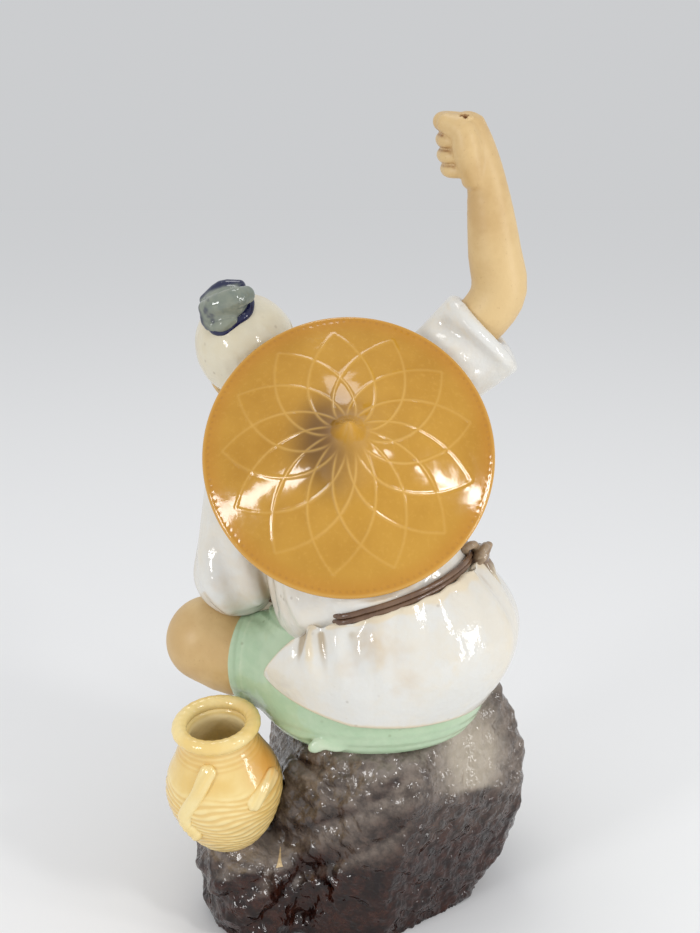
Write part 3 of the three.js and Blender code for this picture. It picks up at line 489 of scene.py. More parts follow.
def settle(form, points, faces, rounds):
    """Evens the net out and lays its points back on the surface."""
    for _ in range(rounds):
        points = 0.5 * points + 0.5 * neighbours(points, faces)
        out = point_normals(points, faces)
        points = points - out * np.clip(measure(form, points), -1, 1)[:, None]
    return points


def mesh_object(name, points, faces, marks):
    """A smooth mesh of four-sided faces, its points in design mm, with values of marks at them."""
    mesh = bpy.data.meshes.new(name)
    mesh.vertices.add(len(points))
    mesh.vertices.foreach_set("co", ((points + SHIFT) / 1000).astype(np.float32).ravel())
    mesh.loops.add(faces.size)
    mesh.loops.foreach_set("vertex_index", faces.astype(np.int32).ravel())
    mesh.polygons.add(len(faces))
    mesh.polygons.foreach_set("loop_start", np.arange(0, faces.size, 4, dtype=np.int32))
    mesh.update(calc_edges=True)
    mesh.polygons.foreach_set("use_smooth", np.ones(len(faces), bool))
    for mark, values in marks.items():
        layer = mesh.attributes.new(mark, "FLOAT", "POINT")
        layer.data.foreach_set("value", np.asarray(values, np.float32))
    return placed(name, mesh)


def fitted(made, nodes):
    """Fixes a piece to the figurine in place of the solids it stands for."""
    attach(made, "root")
    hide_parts(*nodes)


def piece(name, points, faces, marks, paint, nodes):
    """A finished mesh piece with its material, and the solids it stands for."""
    made = mesh_object(name, points, faces, marks)
    made.data.validate()
    made.data.materials.append(paint)
    # The frame has materials of the same names, so Blender puts a number after this one's
    fitted(made, nodes)
    return made


def clay(name, form, paint, step, nodes=None, rounds=3, near=None, texture=None, spare=4.0):
    """A piece of modelled clay: the surface of a form, in the box of the solids it stands for.

    The box is widened by spare mm. near is the form whose hollows are shaded, if not its own, and
    texture gives a last relief in mm.
    """
    nodes = nodes or [name]
    corners = np.array([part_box(node) for node in nodes]) * 1000
    low = corners[:, 0].min(0) - SHIFT - spare
    high = corners[:, 1].max(0) - SHIFT + spare
    count = np.ceil((high - low) / step).astype(int) + 1
    values = lattice(form, low, count, step)
    points, faces = net(values, low, step)
    points = settle(form, points, faces, rounds)
    out = point_normals(points, faces)
    probe = 2.2
    hollow = np.clip(1 - measure(near or form, points + out * probe) / probe, 0, 1.5)
    edge = np.clip(1 + measure(form, points - out * probe) / probe, 0, 1)
    if texture:
        points = points + out * texture(points)[:, None]
    marks = {"hollow": hollow, "edge": edge, "rise": out[:, 2]}
    piece(name, points, faces, marks, paint, nodes)


def waves(p):
    """The broad lumps of the pressed rock."""
    x, y, z = p.T
    broad = np.sin(x * 0.11 + y * 0.05 + 1) + np.sin(y * 0.13 - z * 0.07 + 2)
    slanted = np.abs(np.sin(x * 0.16 + z * 0.2 + y * 0.06)) * 1.6
    fine = np.sin(x * 0.31 + z * 0.27) * np.sin(y * 0.33 - z * 0.21 + x * 0.1)
    return 0.9 * (broad + slanted + fine - 0.8)


ROCK_MIDDLE = np.array([-8, 0, 38])
# Flat faces of the boulder: azimuth and elevation in degrees, and distance from its middle in mm
ROCK_FACES = [
    (138, 16, 46.5), (84, -7, 46.5), (55, 4, 43), (182, -8, 52.5), (130, -12, 40.5),
    (214, 12, 46), (268, 4, 45), (312, -6, 42), (236, -34, 42), (8, 14, 38),
]
BOULDER = [
    (-3, 3, -5, 39, 40), (-5, 2, 10, 41, 43), (-9, 1, 26, 44.5, 46),
    (-15, 0, 51, 48, 49), (-12, 1, 66, 39, 45), (-11, 2, 73, 33, 35),
]
HOLLOW = [(2, -2, -9, 25, 28), (-4, -2, 22, 31, 35), (-12, 0, 45, 33, 35)]
LEDGE = [(28, 18, -5, 17, 20), (32, 19, 12, 20, 24), (33, 20, 24, 20, 24), (32, 20, 30, 16, 20)]
STEP = [
    (-22, -34, -5, 24, 22), (-26, -38, 16.4, 25, 25),
    (-31, -46, 34, 20, 24), (-32, -48, 43.5, 15.5, 20.5),
]


def rock(p):
    lumps = waves(p)
    boulder = limb(p, BOULDER, cap=0.1) - lumps
    for azimuth, elevation, distance in ROCK_FACES:
        a, e = math.radians(azimuth), math.radians(elevation)
        out = np.array([math.cos(a) * math.cos(e), math.sin(a) * math.cos(e), math.sin(e)])
        boulder = -merge(-boulder, distance - (p - ROCK_MIDDLE) @ out, 2.5)
    whole = merge(boulder, limb(p, LEDGE, cap=0.2) - lumps, 4.0)
    whole = merge(whole, stack(p, STEP) - lumps, 4.0)
    return np.maximum(carve(whole, limb(p, HOLLOW, cap=0.3), 2.0), -p[:, 2])


def rock_texture(p):
    """The crumpled grain of the rock, in mm out from its surface."""
    out = np.empty(len(p))
    for i, (x, y, z) in enumerate(p.tolist()):
        place = Vector((x, y, z))
        crumple = noise.ridged_multi_fractal(place * 0.09, 0.9, 2.1, 3, 1.0, 2.0)
        streak = noise.noise(Vector((x * 0.1 + z * 0.12, y * 0.1, z * 0.3 - x * 0.26)))
        out[i] = 0.9 * (crumple - 1.2) + 0.8 * streak + 0.1 * noise.noise(place * 0.45)
    return np.where(p[:, 2] < 0.3, 0, out)


# The middle of a facet at the back right that is painted paler as a lit face, and a small pale chip,
# in metres
LIT_FACET = (-0.0422, 0.0328, 0.0622)
CHIP_X, CHIP_FOOT, CHIP_HEIGHT, CHIP_HALF_WIDTH = 0.0232, 0.0268, 0.0036, 0.0013

rock_glaze, tree = material("rock_glaze")
patches = tree.noise(40, 5, 0.6)
speckle = tree.noise(260, 5, 0.65)
rise = tree.attribute("rise")
place = tree.axes(tree.place())
level = place["Z"].between(0.014, 0.04)
# Grey on faces turned up and high on the rock, dark brown low down and on faces turned down: partly thin and
# thick glaze, partly painted top light and painted shade.
thin_glaze_and_top_light = (rise * 0.9 + level * 0.75 + patches * 0.7 - 0.66).between(0.0, 0.8)
brown = tree.mix(speckle.between(0.35, 0.7), srgb(26, 10, 6), srgb(60, 33, 24))
grey = tree.mix(speckle.between(0.3, 0.7), srgb(78, 68, 62), srgb(126, 114, 104))
# Painted light: a paler colour on the facet at the back right, as a lit face.
painted_facet_light = 1 - (tree.distance(LIT_FACET) + patches * 0.012).between(0.012, 0.03)
up = (place["Z"] - CHIP_FOOT) / CHIP_HEIGHT
chip = CHIP_HALF_WIDTH * (1 - up) - (place["X"] - CHIP_X).curve("ABSOLUTE")
chip = chip.between(0.0, 0.00015) * up.between(0.0, 0.04) * place["Y"].between(0.03, 0.031)
color = tree.coated(
    tree.mix(thin_glaze_and_top_light, brown, grey),
    # Painted light on the faces of the rock that turn most nearly up.
    ((rise + patches * 0.6).between(0.75, 1.15) * 0.4, 160, 150, 142),
    (painted_facet_light * (rise + patches * 0.2).between(0.05, 0.2) * 0.75, 184, 172, 154),
    # Painted shade in the hollows of the rock.
    (tree.attribute("hollow").between(0.25, 0.9) * 0.7, 38, 24, 19),
    (tree.attribute("edge").between(0.45, 0.95) * 0.4, 126, 100, 80),
    (chip * 0.9, 214, 186, 140),
)
crumple = tree.noise(115, 3, 0.45) * 2.6 + tree.noise(380, 2, 0.5) * 0.3
surface(tree, color, patches * 0.1 + 0.06, 0.5, Normal=tree.bump(1.0, 0.0015, crumple))

clay("rock", rock, rock_glaze, 1.0, ["rock_base"], rounds=2, texture=rock_texture)


# Trousers
# Seat and thighs of loose cloth, modelled in clay over the rock; the left one ends in a turned cuff.
# Pale green celadon glaze, paler at the edges, which ran down the rock in one drip at the back.
SEAT = (-7, 17, 93)
LEFT_HIP, LEFT_KNEE = (10, 14, 92), (49, 3, 91)
RIGHT_HIP, RIGHT_KNEE, RIGHT_ANKLE = (-24, 10, 93), (-40, -37, 104), (-32, -45, 60)
DRIP = [
    ((7.4, 43.8, 75.6), (6, 1.5, 2.2)),
    ((11, 43.4, 74.2), (1.8, 1, 1.6)),
    ((5, 44.2, 74.2), (2.6, 1, 1.3)),
]
TROUSER_FOLDS = [
    ([(38, 16, 78), (34, 26, 76), (25, 36, 74.5), (14, 43.5, 73)], 2.6, -1.3),
    ([(38, 18, 83), (33.5, 28, 81), (25, 37.5, 79), (14, 45, 77)], 1.6, 0.7),
    ([(36, 8, 108), (31, 15, 107), (26, 22, 104)], 1.8, 0.6),
    ([(-38, -18, 116), (-30, -26, 96), (-24, -28, 84)], 3.0, 1.2),
    ([(-48, -26, 104), (-46, -32, 92), (-38, -36, 84)], 2.4, 1.0),
]


def part_way(a, b, share):
    """The place so far from a to b."""
    return tuple(x + (y - x) * share for x, y in zip(a, b))


def moved(a, x, y, z):
    return (a[0] + x, a[1] + y, a[2] + z)


def rows_from(a, *rows):
    """Rows of a limb, each given by its way from a and its sizes."""
    return [(*moved(a, *row[:3]), *row[3:]) for row in rows]


def rows_between(a, b, *rows):
    """Rows of a limb, each given by its share of the way from a to b and its sizes."""
    return [(*part_way(a, b, row[0]), *row[1:]) for row in rows]


def trousers(p):
    seat = rows_from(SEAT, (0, 0, -20.5, 32.8, 27.3), (0, 0, -12.3, 38.2, 31), (0, 0, 0, 39, 31))
    seat += rows_from(SEAT, (0, 0, 16.4, 32.8, 26))
    left = rows_from(LEFT_HIP, (-14, 3, 0, 14))
    left += rows_between(LEFT_HIP, LEFT_KNEE, (0, 19), (0.35, 17), (0.64, 15.8))
    right = rows_between(RIGHT_HIP, RIGHT_KNEE, (0, 19), (0.5, 17.2))
    right += rows_from(RIGHT_KNEE, (1.5, 0, -0.5, 14.8))
    shin = rows_between(RIGHT_KNEE, RIGHT_ANKLE, (-0.05, 12), (0.15, 15.3), (0.5, 14))
    left_mouth = rows_between(LEFT_HIP, LEFT_KNEE, (0.6, 11.4), (0.8, 11.8))
    right_mouth = rows_between(RIGHT_KNEE, RIGHT_ANKLE, (0.4, 11.6), (0.6, 12.6))
    whole = merge(limb(p, seat, cap=0.12), limb(p, left, cap=0.16), 8)
    whole = merge(whole, merge(limb(p, right, cap=0.9), limb(p, shin, cap=0.22), 3), 7)
    for place, sizes in DRIP:
        whole = merge(whole, ball(p, place, sizes), 1.2)
    for mouth in (left_mouth, right_mouth):
        whole = carve(whole, limb(p, mouth, cap=0.1), 0.8)
    return folded(p, whole, TROUSER_FOLDS)


def glaze(name, thin, body, pooled_and_shaded, gloss, marks=None):
    """A glossy glaze: thin over edges, pools and painted shade in hollows, cloudy and faintly uneven."""
    made, tree = material(name)
    cloud = tree.noise(38, 4, 0.55)
    fine = tree.noise(260, 3, 0.6)
    hollow = tree.attribute("hollow") + cloud * 0.5 - 0.25
    edge = tree.attribute("edge") + fine * 0.4 - 0.2
    color = tree.coated(
        srgb(*body),
        ((cloud * 0.7 + fine * 0.3).between(0.35, 0.62) * 0.35, *thin),
        # Painted shade in the hollows, together with glaze that pools there.
        (hollow.between(0.12, 0.85) * 0.85, *pooled_and_shaded),
        (edge.between(0.3, 0.85) * 0.8, *thin),
    )
    if marks:
        color = marks(tree, color)
    uneven = tree.noise(420, 2, 0.5) + tree.noise(90, 2, 0.5) * 4
    surface(tree, color, fine * 0.08 + (gloss - 0.04), 0.6, Normal=tree.bump(0.5, 0.00032, uneven))
    return made


def specked(tree, color, amount, speck, rarity=0.5):
    """A glaze's colour with small iron specks in it."""
    cells = tree.node("ShaderNodeTexVoronoi", {"Vector": tree.place(), "Scale": 190.0})
    spot = 1 - cells["Distance"].between(0.05, 0.16)
    rare = tree.noise(31, 2, 0.5).between(rarity, rarity + 0.1)
    return tree.coated(color, (spot * rare * amount, *speck))


def green_specks(tree, color):
    return specked(tree, color, 0.3, (110, 110, 80))


trouser_glaze = glaze(
    "trouser_glaze", (202, 214, 186), (168, 194, 160), (126, 152, 120), 0.1, green_specks
)
clay("trousers", trousers, trouser_glaze, 1.0, rounds=5)


# Bare legs
# The left leg is folded inward in front of the seat and the right one stands on the step of the
# rock. Unglazed tan clay, rubbed smooth, with painted shade in the creases.
LEFT_KNEECAP = (50.4, 3, 96)
LEFT_ANKLE, LEFT_TOES = (8, -34, 84), (-18, -42, 80)
RIGHT_TOES = (-34, -68, 42)
# Each toe: its place across the foot, its root and tip along it, and its radius, in mm
TOES = [
    (4.2, 18.5, 25.5, 2.2), (0.7, 18.6, 25.4, 1.55), (-2.1, 18, 24.3, 1.45),
    (-4.6, 17.2, 22.8, 1.35), (-6.7, 16, 20.8, 1.25),
]


def foot(p, ankle, toes, inner, hand):
    """A bare foot from its ankle to its toes: inner points to the big toe's side, hand is 1 or -1."""
    way = unit(np.subtract(toes, ankle))
    inner = np.array(inner, float)
    inner = unit(inner - way * (inner @ way))
    axes = np.stack([inner, way, hand * np.cross(way, inner)], 1)

    def at(across, along, up):
        return np.array(ankle) + axes @ [across, along, up]

    heel = ball(p, at(0, -2, -0.8), (5.2, 6.2, 5.0), axes)
    instep = ball(p, at(0, 8, 0.6), (5.4, 11, 4.3), axes)
    sole = ball(p, at(-0.5, 15.5, -0.6), (6.9, 6.5, 3.1), axes)
    whole = merge(merge(heel, instep, 3), sole, 4)
    for across, root, tip, size in TOES:
        toe = limb(p, [(*at(across, root, -1.2), size), (*at(across, tip, -1.5), size * 1.05)], cap=0.9)
        whole = merge(whole, toe, 0.4)
    return whole


def left_leg(p):
    thigh = rows_between(LEFT_HIP, LEFT_KNEE, (0.45, 12.5), (0.75, 14.6)) + [(*LEFT_KNEECAP, 15)]
    calf = rows_from(LEFT_KNEECAP, (0, -3, -3, 13.4))
    calf += rows_between(LEFT_KNEECAP, LEFT_ANKLE, (0.5, 11.5)) + [(*LEFT_ANKLE, 6.2)]
    whole = merge(limb(p, thigh, cap=0.95), limb(p, calf, cap=0.95), 2.2)
    return merge(whole, foot(p, moved(LEFT_ANKLE, -4, -1, -2), LEFT_TOES, (0, 0, 1), -1), 4)


def right_leg(p):
    shin = rows_between(RIGHT_KNEE, RIGHT_ANKLE, (0.1, 11), (0.45, 10.5))
    shin += rows_from(RIGHT_ANKLE, (0, 0, 0, 6.2), (0, -1, -8.5, 6.2))
    right_foot = foot(p, moved(RIGHT_ANKLE, 0, -1, -11.5), RIGHT_TOES, (1, 0, 0), 1)
    return merge(limb(p, shin), right_foot, 4)


skin_clay, tree = material("skin_clay")
cloud = tree.noise(45, 4, 0.6)
grain = tree.noise(900, 3, 0.6)
color = tree.coated(
    tree.mix(cloud.between(0.3, 0.7), srgb(196, 162, 110), srgb(214, 184, 132)),
    # Painted shade in creases and hollows, and on the left leg where the cuff lies over it.
    ((tree.attribute("hollow") + cloud * 0.4 - 0.2).between(0.1, 0.8), 146, 100, 56),
    (tree.attribute("edge").between(0.4, 0.9) * 0.5, 224, 196, 146),
    (grain.between(0.62, 0.75) * 0.25, 150, 108, 66),
)
surface(tree, color, cloud * 0.16 + 0.36, 0.5, Normal=tree.bump(0.3, 0.0002, grain))


def leg_in_cuff(p):
    """The left leg and the trousers round it, which shade each other."""
    return np.minimum(left_leg(p), trousers(p) + 0.5)


clay("left_leg", left_leg, skin_clay, 0.55, ["left_leg", "left_foot"], near=leg_in_cuff, spare=7.0)
clay("right_leg", right_leg, skin_clay, 0.55, ["right_leg", "right_foot"], spare=7.0)


# Robe
# A wide-sleeved coat over the upper body, one clay sheet luted to the figure and to its sleeves.
# White glaze, bluish where it is thick and warm tan where it ran thin over the folds; the darker
# tan in the hollows of the folds is partly painted shade.
WAIST, CHEST, NECK_BASE, CHIN_PIVOT = (-7, 18, 121), (2, 10, 152), (16, -5, 174), (30, -17, 180)
BREAST = part_way(CHEST, NECK_BASE, 0.4)
RIGHT_SHOULDER, RIGHT_ELBOW = (-14, -13, 179), (-51.5, -9, 213)
LEFT_SHOULDER, LEFT_ELBOW, LEFT_WRIST = (34, 1, 160), (39, 6, 121), (42, -24, 112)
HAT_CENTRE = np.array([1, 24.5, 168.0])
HAT_RADIUS, HAT_HEIGHT, HAT_WALL, HAT_LEAN = 47.2, 27.0, 2.6, -59.5
HAT_TURN = turned((1, 0, 0), HAT_LEAN)
GAP_UNDER_HAT = 0.4
RIGHT_SLEEVE_FOLDS = [
    ([(-30, -2, 205), (-36, 2, 202), (-42, 4.5, 197), (-48, 3.5, 190)], 3.0, 2.6),
    ([(-28, 2, 197), (-35, 5, 192), (-43, 5, 185)], 3.4, -1.5),
    ([(-38, -4, 212), (-44, 2, 207), (-50, 3, 200), (-55, 0, 194)], 2.6, -0.9),
]
LEFT_SLEEVE_FOLDS = [
    ([(46, 18, 136), (41, 20, 125), (36, 19, 112)], 3.2, 1.9),
    ([(50, 12, 130), (46, 17, 118), (42, 15, 109)], 3.2, -1.4),
    ([(37, 20, 140), (34, 21, 128), (31, 17, 114)], 3.2, -1.3),
    ([(33, 20, 134), (29, 20, 124), (27, 17, 116)], 2.8, 1.2),
    ([(52, -6, 118), (50, -12, 112), (46, -14, 104)], 2.4, 1.0),
]
ROBE_FOLDS = [
    ([(29, 24, 132), (28, 27, 124), (26, 27, 116)], 2.6, 1.6),
    ([(22, 37, 132), (20, 38, 124), (16, 41, 117)], 3.4, -1.5),
    ([(12, 44, 130), (10, 45, 124), (6, 46, 119)], 2.6, 1.0),
    ([(-20, 44, 131), (-8, 47, 126), (4, 46.5, 121)], 3.2, -0.9),
    ([(-30, 40, 134), (-18, 45, 128), (-4, 47, 122)], 2.0, 0.7),
    ([(-10, -8, 150), (-4, -12, 138), (2, -14, 126)], 3.0, 1.2),
    ([(22, -14, 150), (16, -14, 138), (10, -14, 126)], 3.0, 1.2),
    ([(-34, 4, 160), (-36, 8, 148), (-38, 14, 134)], 4.0, 1.4),
]


def in_frame(p, middle, turn):
    """Points p as seen from a middle and in a turned frame."""
    return (p - middle.astype(np.float32)) @ turn.astype(np.float32)


def cone(out):
    """The rise of the hat's upper side, from 1 at its middle to 0 at its rim."""
    return 0.62 * (1 - out) + 0.38 * (1 - out) ** 5


def under_hat(p, form):
    """The form with all that would come through the hat pressed back under it."""
    q = in_frame(p, HAT_CENTRE, HAT_TURN)
    far = np.hypot(q[:, 0], q[:, 1])
    rise = HAT_HEIGHT * cone(np.clip(far / HAT_RADIUS, 0, 1))
    beneath = q[:, 2] - rise + HAT_WALL * 0.5 + GAP_UNDER_HAT
    above = np.maximum(-beneath * 0.8, far - HAT_RADIUS - 1)
    return carve(form, above, 0.8)


def torso(p):
    rows = rows_between(WAIST, CHEST, (-0.28, 32, 28), (0, 34, 30), (0.5, 33, 28), (1, 31, 21))
    rows += rows_between(CHEST, NECK_BASE, (0.7, 28, 18), (1, 17.5, 12.5))
    return limb(p, rows, cap=0.25)


def bare_chest(p):
    chest = rows_from(CHEST, (2, -18, -8, 4, 5)) + rows_from(BREAST, (1, -14, 0, 11, 8))
    chest += rows_from(NECK_BASE, (1, -4, 0, 13.5, 9.5))
    neck = rows_between(CHEST, NECK_BASE, (0.8, 10.5), (1, 8.5)) + [(*CHIN_PIVOT, 8)]
    return merge(limb(p, chest), limb(p, neck), 3)


def neck_opening(p):
    """The opening of the robe: the chest, and all that lies in front of it."""
    in_front = np.minimum(bare_chest(p + [0, 5, 0]), bare_chest(p + [0, 9, 0]))
    return np.minimum(bare_chest(p) - 0.2, in_front + 0.6)


def right_sleeve_row(share, sag, wide, deep):
    """A row of the right sleeve, so far along the upper arm and sagging below it."""
    return (*moved(part_way(RIGHT_SHOULDER, RIGHT_ELBOW, share), 1, 0, -6.2 * sag), wide, deep)


def right_sleeve(p):
    rows = rows_from(RIGHT_SHOULDER, (9, 1, -11, 14, 13)) + [
        right_sleeve_row(0, 0.6, 15, 13.5),
        right_sleeve_row(0.45, 1, 15.5, 13.5),
        right_sleeve_row(0.84, 1, 17.2, 14.5),
    ]
    tube = folded(p, limb(p, rows, cap=0.3), RIGHT_SLEEVE_FOLDS)
    mouth = [right_sleeve_row(0.78, 0.3, 9.2, 9), right_sleeve_row(1.06, 0.3, 10.8, 10.2)]
    return carve(tube, limb(p, mouth, cap=0.2), 3.0)


def left_sleeve(p):
    upper = rows_from(LEFT_SHOULDER, (-10, 1, 4, 12.5))
    upper += rows_between(LEFT_SHOULDER, LEFT_ELBOW, (0, 13.5), (0.5, 14.8), (1, 14.5))
    lower = rows_between(LEFT_ELBOW, LEFT_WRIST, (0, 14.5), (0.72, 11.8))
    tube = merge(limb(p, upper, cap=0.9), limb(p, lower, cap=0.16), 3)
    mouth = rows_between(LEFT_ELBOW, LEFT_WRIST, (0.52, 9), (0.9, 10.4))
    return carve(folded(p, tube, LEFT_SLEEVE_FOLDS), limb(p, mouth, cap=0.2), 1.2)


def robe(p):
    body = folded(p, torso(p), ROBE_FOLDS)
    whole = merge(merge(body, left_sleeve(p), 2.5), right_sleeve(p), 6)
    return under_hat(p, carve(whole, neck_opening(p), 0.8))


def warm_runs(tree, color):
    """Tan runs where the white glaze is thin, and a few iron specks."""
    runs = tree.noise(26, 4, 0.6).between(0.55, 0.72) * (tree.noise(110, 3, 0.6) * 0.8)
    return specked(tree, tree.coated(color, (runs, 196, 168, 128)), 0.3, (120, 96, 70))


robe_glaze = glaze("robe_glaze", (222, 206, 176), (218, 217, 212), (178, 160, 132), 0.1, warm_runs)
clay("robe", robe, robe_glaze, 1.0, ["robe_body", "left_sleeve", "right_sleeve"], rounds=5)


# Collar
# A raised band that borders the opening at the neck and chest. It is one strip of clay laid on the
# robe, under the same white glaze.
def collar(p):
    rows = rows_from(CHEST, (2, -18, -8, 10)) + rows_from(BREAST, (1, -14, 0, 16.6))
    rows += rows_from(NECK_BASE, (1, -8, 0, 18.2))
    band = -merge(-(torso(p) - 2.4), -limb(p, rows, cap=1.0), 2.0)
    return under_hat(p, carve(band, neck_opening(p), 0.8))


clay("collar", collar, robe_glaze, 0.8, ["robe_collar"])


# Skirt of the robe
# The robe below the belt, a thick clay sheet gathered at the back left and parted by the thigh.
# It bulges over the seat and its hem stands a little off the trousers.
BELT_RISE, BELT_REACH = 0.29, 34
SKIRT_TOP_WIDE, SKIRT_TOP_DEEP = 35.2, 31.2
HEM_WIDE, HEM_DEEP = 40, 34
HEM_ANGLES = (15, 24, 52, 80, 110, 140, 172, 205, 240, 270, 310, 360)
HEM_HEIGHTS = (97, 95.4, 90.7, 86, 85, 85, 85.5, 87.5, 92, 98, 103, 106)
SKIRT_ENDS = (24, 345)
SKIRT_FOLDS = [
    ([(16, 43, 114.5), (16.5, 45.8, 109), (17.2, 48.2, 101)], 2.2, -1.4),
    ([(13, 44.7, 114.5), (13, 48.9, 108.7), (12.7, 50.1, 100)], 2.2, 1.0),
    ([(10.1, 46.5, 115), (9.5, 49.7, 110), (7.5, 51, 98)], 2.9, -1.6),
    ([(4.7, 48.8, 115.5), (4.1, 50.8, 109.5), (2.5, 52.1, 98)], 3.0, 1.2),
    ([(0, 49.6, 115.5), (-0.6, 51.7, 110), (-4, 53.5, 96)], 4.0, -1.5),
    ([(-7, 50.5, 116), (-9, 53, 108), (-14, 55, 98)], 3.8, 1.2),
    ([(-40, 28, 130), (-47, 30, 120), (-54, 30, 106)], 3.4, -1.3),
    ([(-34, 34, 128), (-42, 40, 117), (-46, 44, 104)], 3.6, 0.9),
    ([(-43, 8, 131), (-54, 8, 118), (-57, 8, 104)], 3.4, -1.2),
    ([(-38, -6, 130), (-46, -14, 118), (-46, -20, 108)], 3.2, 1.1),
    ([(-14, -12, 124), (-16, -17, 116), (-18, -19, 108)], 3.0, -1.2),
]


def smooth_step(value, low, high):
    t = np.clip((value - low) / (high - low), 0, 1)
    return t * t * (3 - 2 * t)


def skirt_middle(share, s):
    """Places on the middle of the sheet, share of the way round and s of the way down."""
    at_hem = SKIRT_ENDS[0] + (SKIRT_ENDS[1] - SKIRT_ENDS[0]) * share
    fan = 27 * (1 - smooth_step(at_hem, SKIRT_ENDS[0], 100))
    angle = np.radians(at_hem + fan * (1 - s))
    cos, sin = np.cos(angle), np.sin(angle)
    right = np.maximum(0, -cos)
    belt_height = WAIST[2] - BELT_RISE * cos * BELT_REACH
    belt = np.stack([WAIST[0] + cos * SKIRT_TOP_WIDE, WAIST[1] + sin * SKIRT_TOP_DEEP, belt_height], -1)
    low = np.interp(at_hem, HEM_ANGLES, HEM_HEIGHTS)
    hem = np.stack([SEAT[0] + cos * (HEM_WIDE + 0.6 * right), SEAT[1] + sin * HEM_DEEP, low], -1)
    small_pleats = np.cos(angle * 23 + 2 * s) * 0.45 * (1 - s) ** 2
    large_pleats = np.cos(angle * 11 + 3 * s) * 0.5 * np.sin(np.pi * s)
    out = np.sin(np.pi * s) * (4 + 7.4 * right) - 1.6 + (small_pleats + large_pleats)
    out = out[..., None] * np.stack([cos, sin, 0 * cos], -1)
    return belt + (hem - belt) * s[..., None] + out


def closed_sheet(middle, round_by, down, half, edge_length):
    """Points and faces of a thick sheet with rounded edges, closed all round."""
    share, s = np.meshgrid(np.linspace(0, 1, round_by), np.linspace(0, 1, down), indexing="ij")
    nudge = 1e-4
    here = middle(share, s)
    out = unit(np.cross(middle(share, s + nudge) - here, middle(share + nudge, s) - here))
    from_side = np.minimum(share, 1 - share) * edge_length
    side = np.sqrt(np.clip(1 - (1 - np.clip(from_side / half, 0, 1)) ** 2, 0, 1))
    thick = half * side
    hang = unit(here[:, -1] - here[:, -2])
    rows = [here[:, k] + out[:, k] * thick[:, k, None] for k in range(down)]
    for turn in np.linspace(0, math.pi, 9)[1:-1]:
        rim = math.cos(turn) * out[:, -1] + math.sin(turn) * hang
        rows.append(here[:, -1] + rim * thick[:, -1, None])
    rows += [here[:, k] - out[:, k] * thick[:, k, None] for k in range(down - 1, -1, -1)]
    rings = np.stack(rows, 1)
    across = rings.shape[1]
    ids = np.arange(rings.shape[0] * across).reshape(rings.shape[:2])
    after = np.roll(ids, -1, axis=1)
    faces = np.stack([ids[:-1], after[:-1], after[1:], ids[1:]], -1).reshape(-1, 4)
    return rings.reshape(-1, 3), faces


def relief_marks(points, faces):
    """Where a mesh is hollow and where it has an edge, from how far its points lie off their mean."""
    smooth = points
    for _ in range(16):
        smooth = neighbours(smooth, faces)
    out = point_normals(points, faces)
    off = ((smooth - points) * out).sum(1)
    return {"hollow": np.clip(off / 0.38, 0, 1.2), "edge": np.clip(-off / 0.7, 0, 1), "rise": out[:, 2]}


def welded(made):
    """Closes the seams of a piece's mesh."""
    work = bmesh.new()
    work.from_mesh(made.data)
    bmesh.ops.remove_doubles(work, verts=work.verts, dist=1e-6)
    work.to_mesh(made.data)
    work.free()


points, faces = closed_sheet(skirt_middle, round_by=330, down=64, half=1.9, edge_length=290)
out = point_normals(points, faces)
for path, width, height in SKIRT_FOLDS:
    points = points + out * fold(points, path, width, height, 1.0)[:, None]
marks = relief_marks(points, faces)
welded(piece("robe_skirt", points, faces, marks, robe_glaze, ["robe_skirt"]))


# Belt
# A cord laid double round the waist under the folds of the robe, rising to its knot at the right.
# Brown glaze; the robe's white glaze ran over the knot's ends.
BELT_LIFT, BELT_WIDE, BELT_DEEP = 2.2, 35.6, 31.6
belt_glaze = glaze("belt_glaze", (158, 128, 100), (88, 64, 50), (46, 30, 24), 0.2)


def on_robe(angle):
    """The place where the belt lies on the robe, at an angle about the waist."""
    cos, sin = math.cos(angle), math.sin(angle)
    height = WAIST[2] + BELT_LIFT - BELT_RISE * cos * BELT_REACH
    p = np.array([[WAIST[0] + cos * BELT_WIDE, WAIST[1] + sin * BELT_DEEP, height]])
    way = unit(np.array([[cos * BELT_WIDE, sin * BELT_DEEP, 0]]))
    for _ in range(6):
        p = p - way * np.clip(robe(p), -1, 1)[:, None]
    return (p + way * 0.9)[0]


def geometry_tree(name, inputs):
    """A Geometry Nodes tree with named inputs, its geometry first, and its input node."""
    group = bpy.data.node_groups.new(name, "GeometryNodeTree")
    group.is_modifier = True
    for way in ("INPUT", "OUTPUT"):
        group.interface.new_socket("Geometry", in_out=way, socket_type="NodeSocketGeometry")
    for title, value in inputs.items():
        made = group.interface.new_socket(title, in_out="INPUT", socket_type="NodeSocketFloat")
        made.default_value = value
    tree = Tree(group)
    return tree, tree.node("NodeGroupInput")


def end_tree(tree, geometry, paint):
    """Ends a Geometry Nodes tree as the export needs it: realized, and with its material."""
    real = tree.change(geometry, "RealizeInstances")
    tree.node("NodeGroupOutput", {0: tree.change(real, "SetMaterial", Material=paint)})


def baked(made, tree, values):
    """Runs a Geometry Nodes tree on an object and leaves it as a plain mesh at the origin."""
    step = made.modifiers.new(tree.nodes.name, "NODES")
    step.node_group = tree.nodes
    for item in tree.nodes.interface.items_tree:
        if item.in_out == "INPUT" and item.name in values:
            step[item.identifier] = values[item.name]
    depsgraph = bpy.context.evaluated_depsgraph_get()
    mesh = bpy.data.meshes.new_from_object(made.evaluated_get(depsgraph))
    name = made.name
    bpy.data.objects.remove(made)
    mesh.name = name
    return placed(name, mesh)


def ring_curve(name, points):
    """A closed poly curve through points in design mm."""
    curve = bpy.data.curves.new(name, "CURVE")
    curve.dimensions = "3D"
    line = curve.splines.new("POLY")
    line.points.add(len(points) - 1)
    flat = (np.array(points) + SHIFT) / 1000
    line.points.foreach_set("co", np.hstack([flat, np.ones((len(flat), 1))]).ravel())
    line.use_cyclic_u = True
    return placed(name, curve)


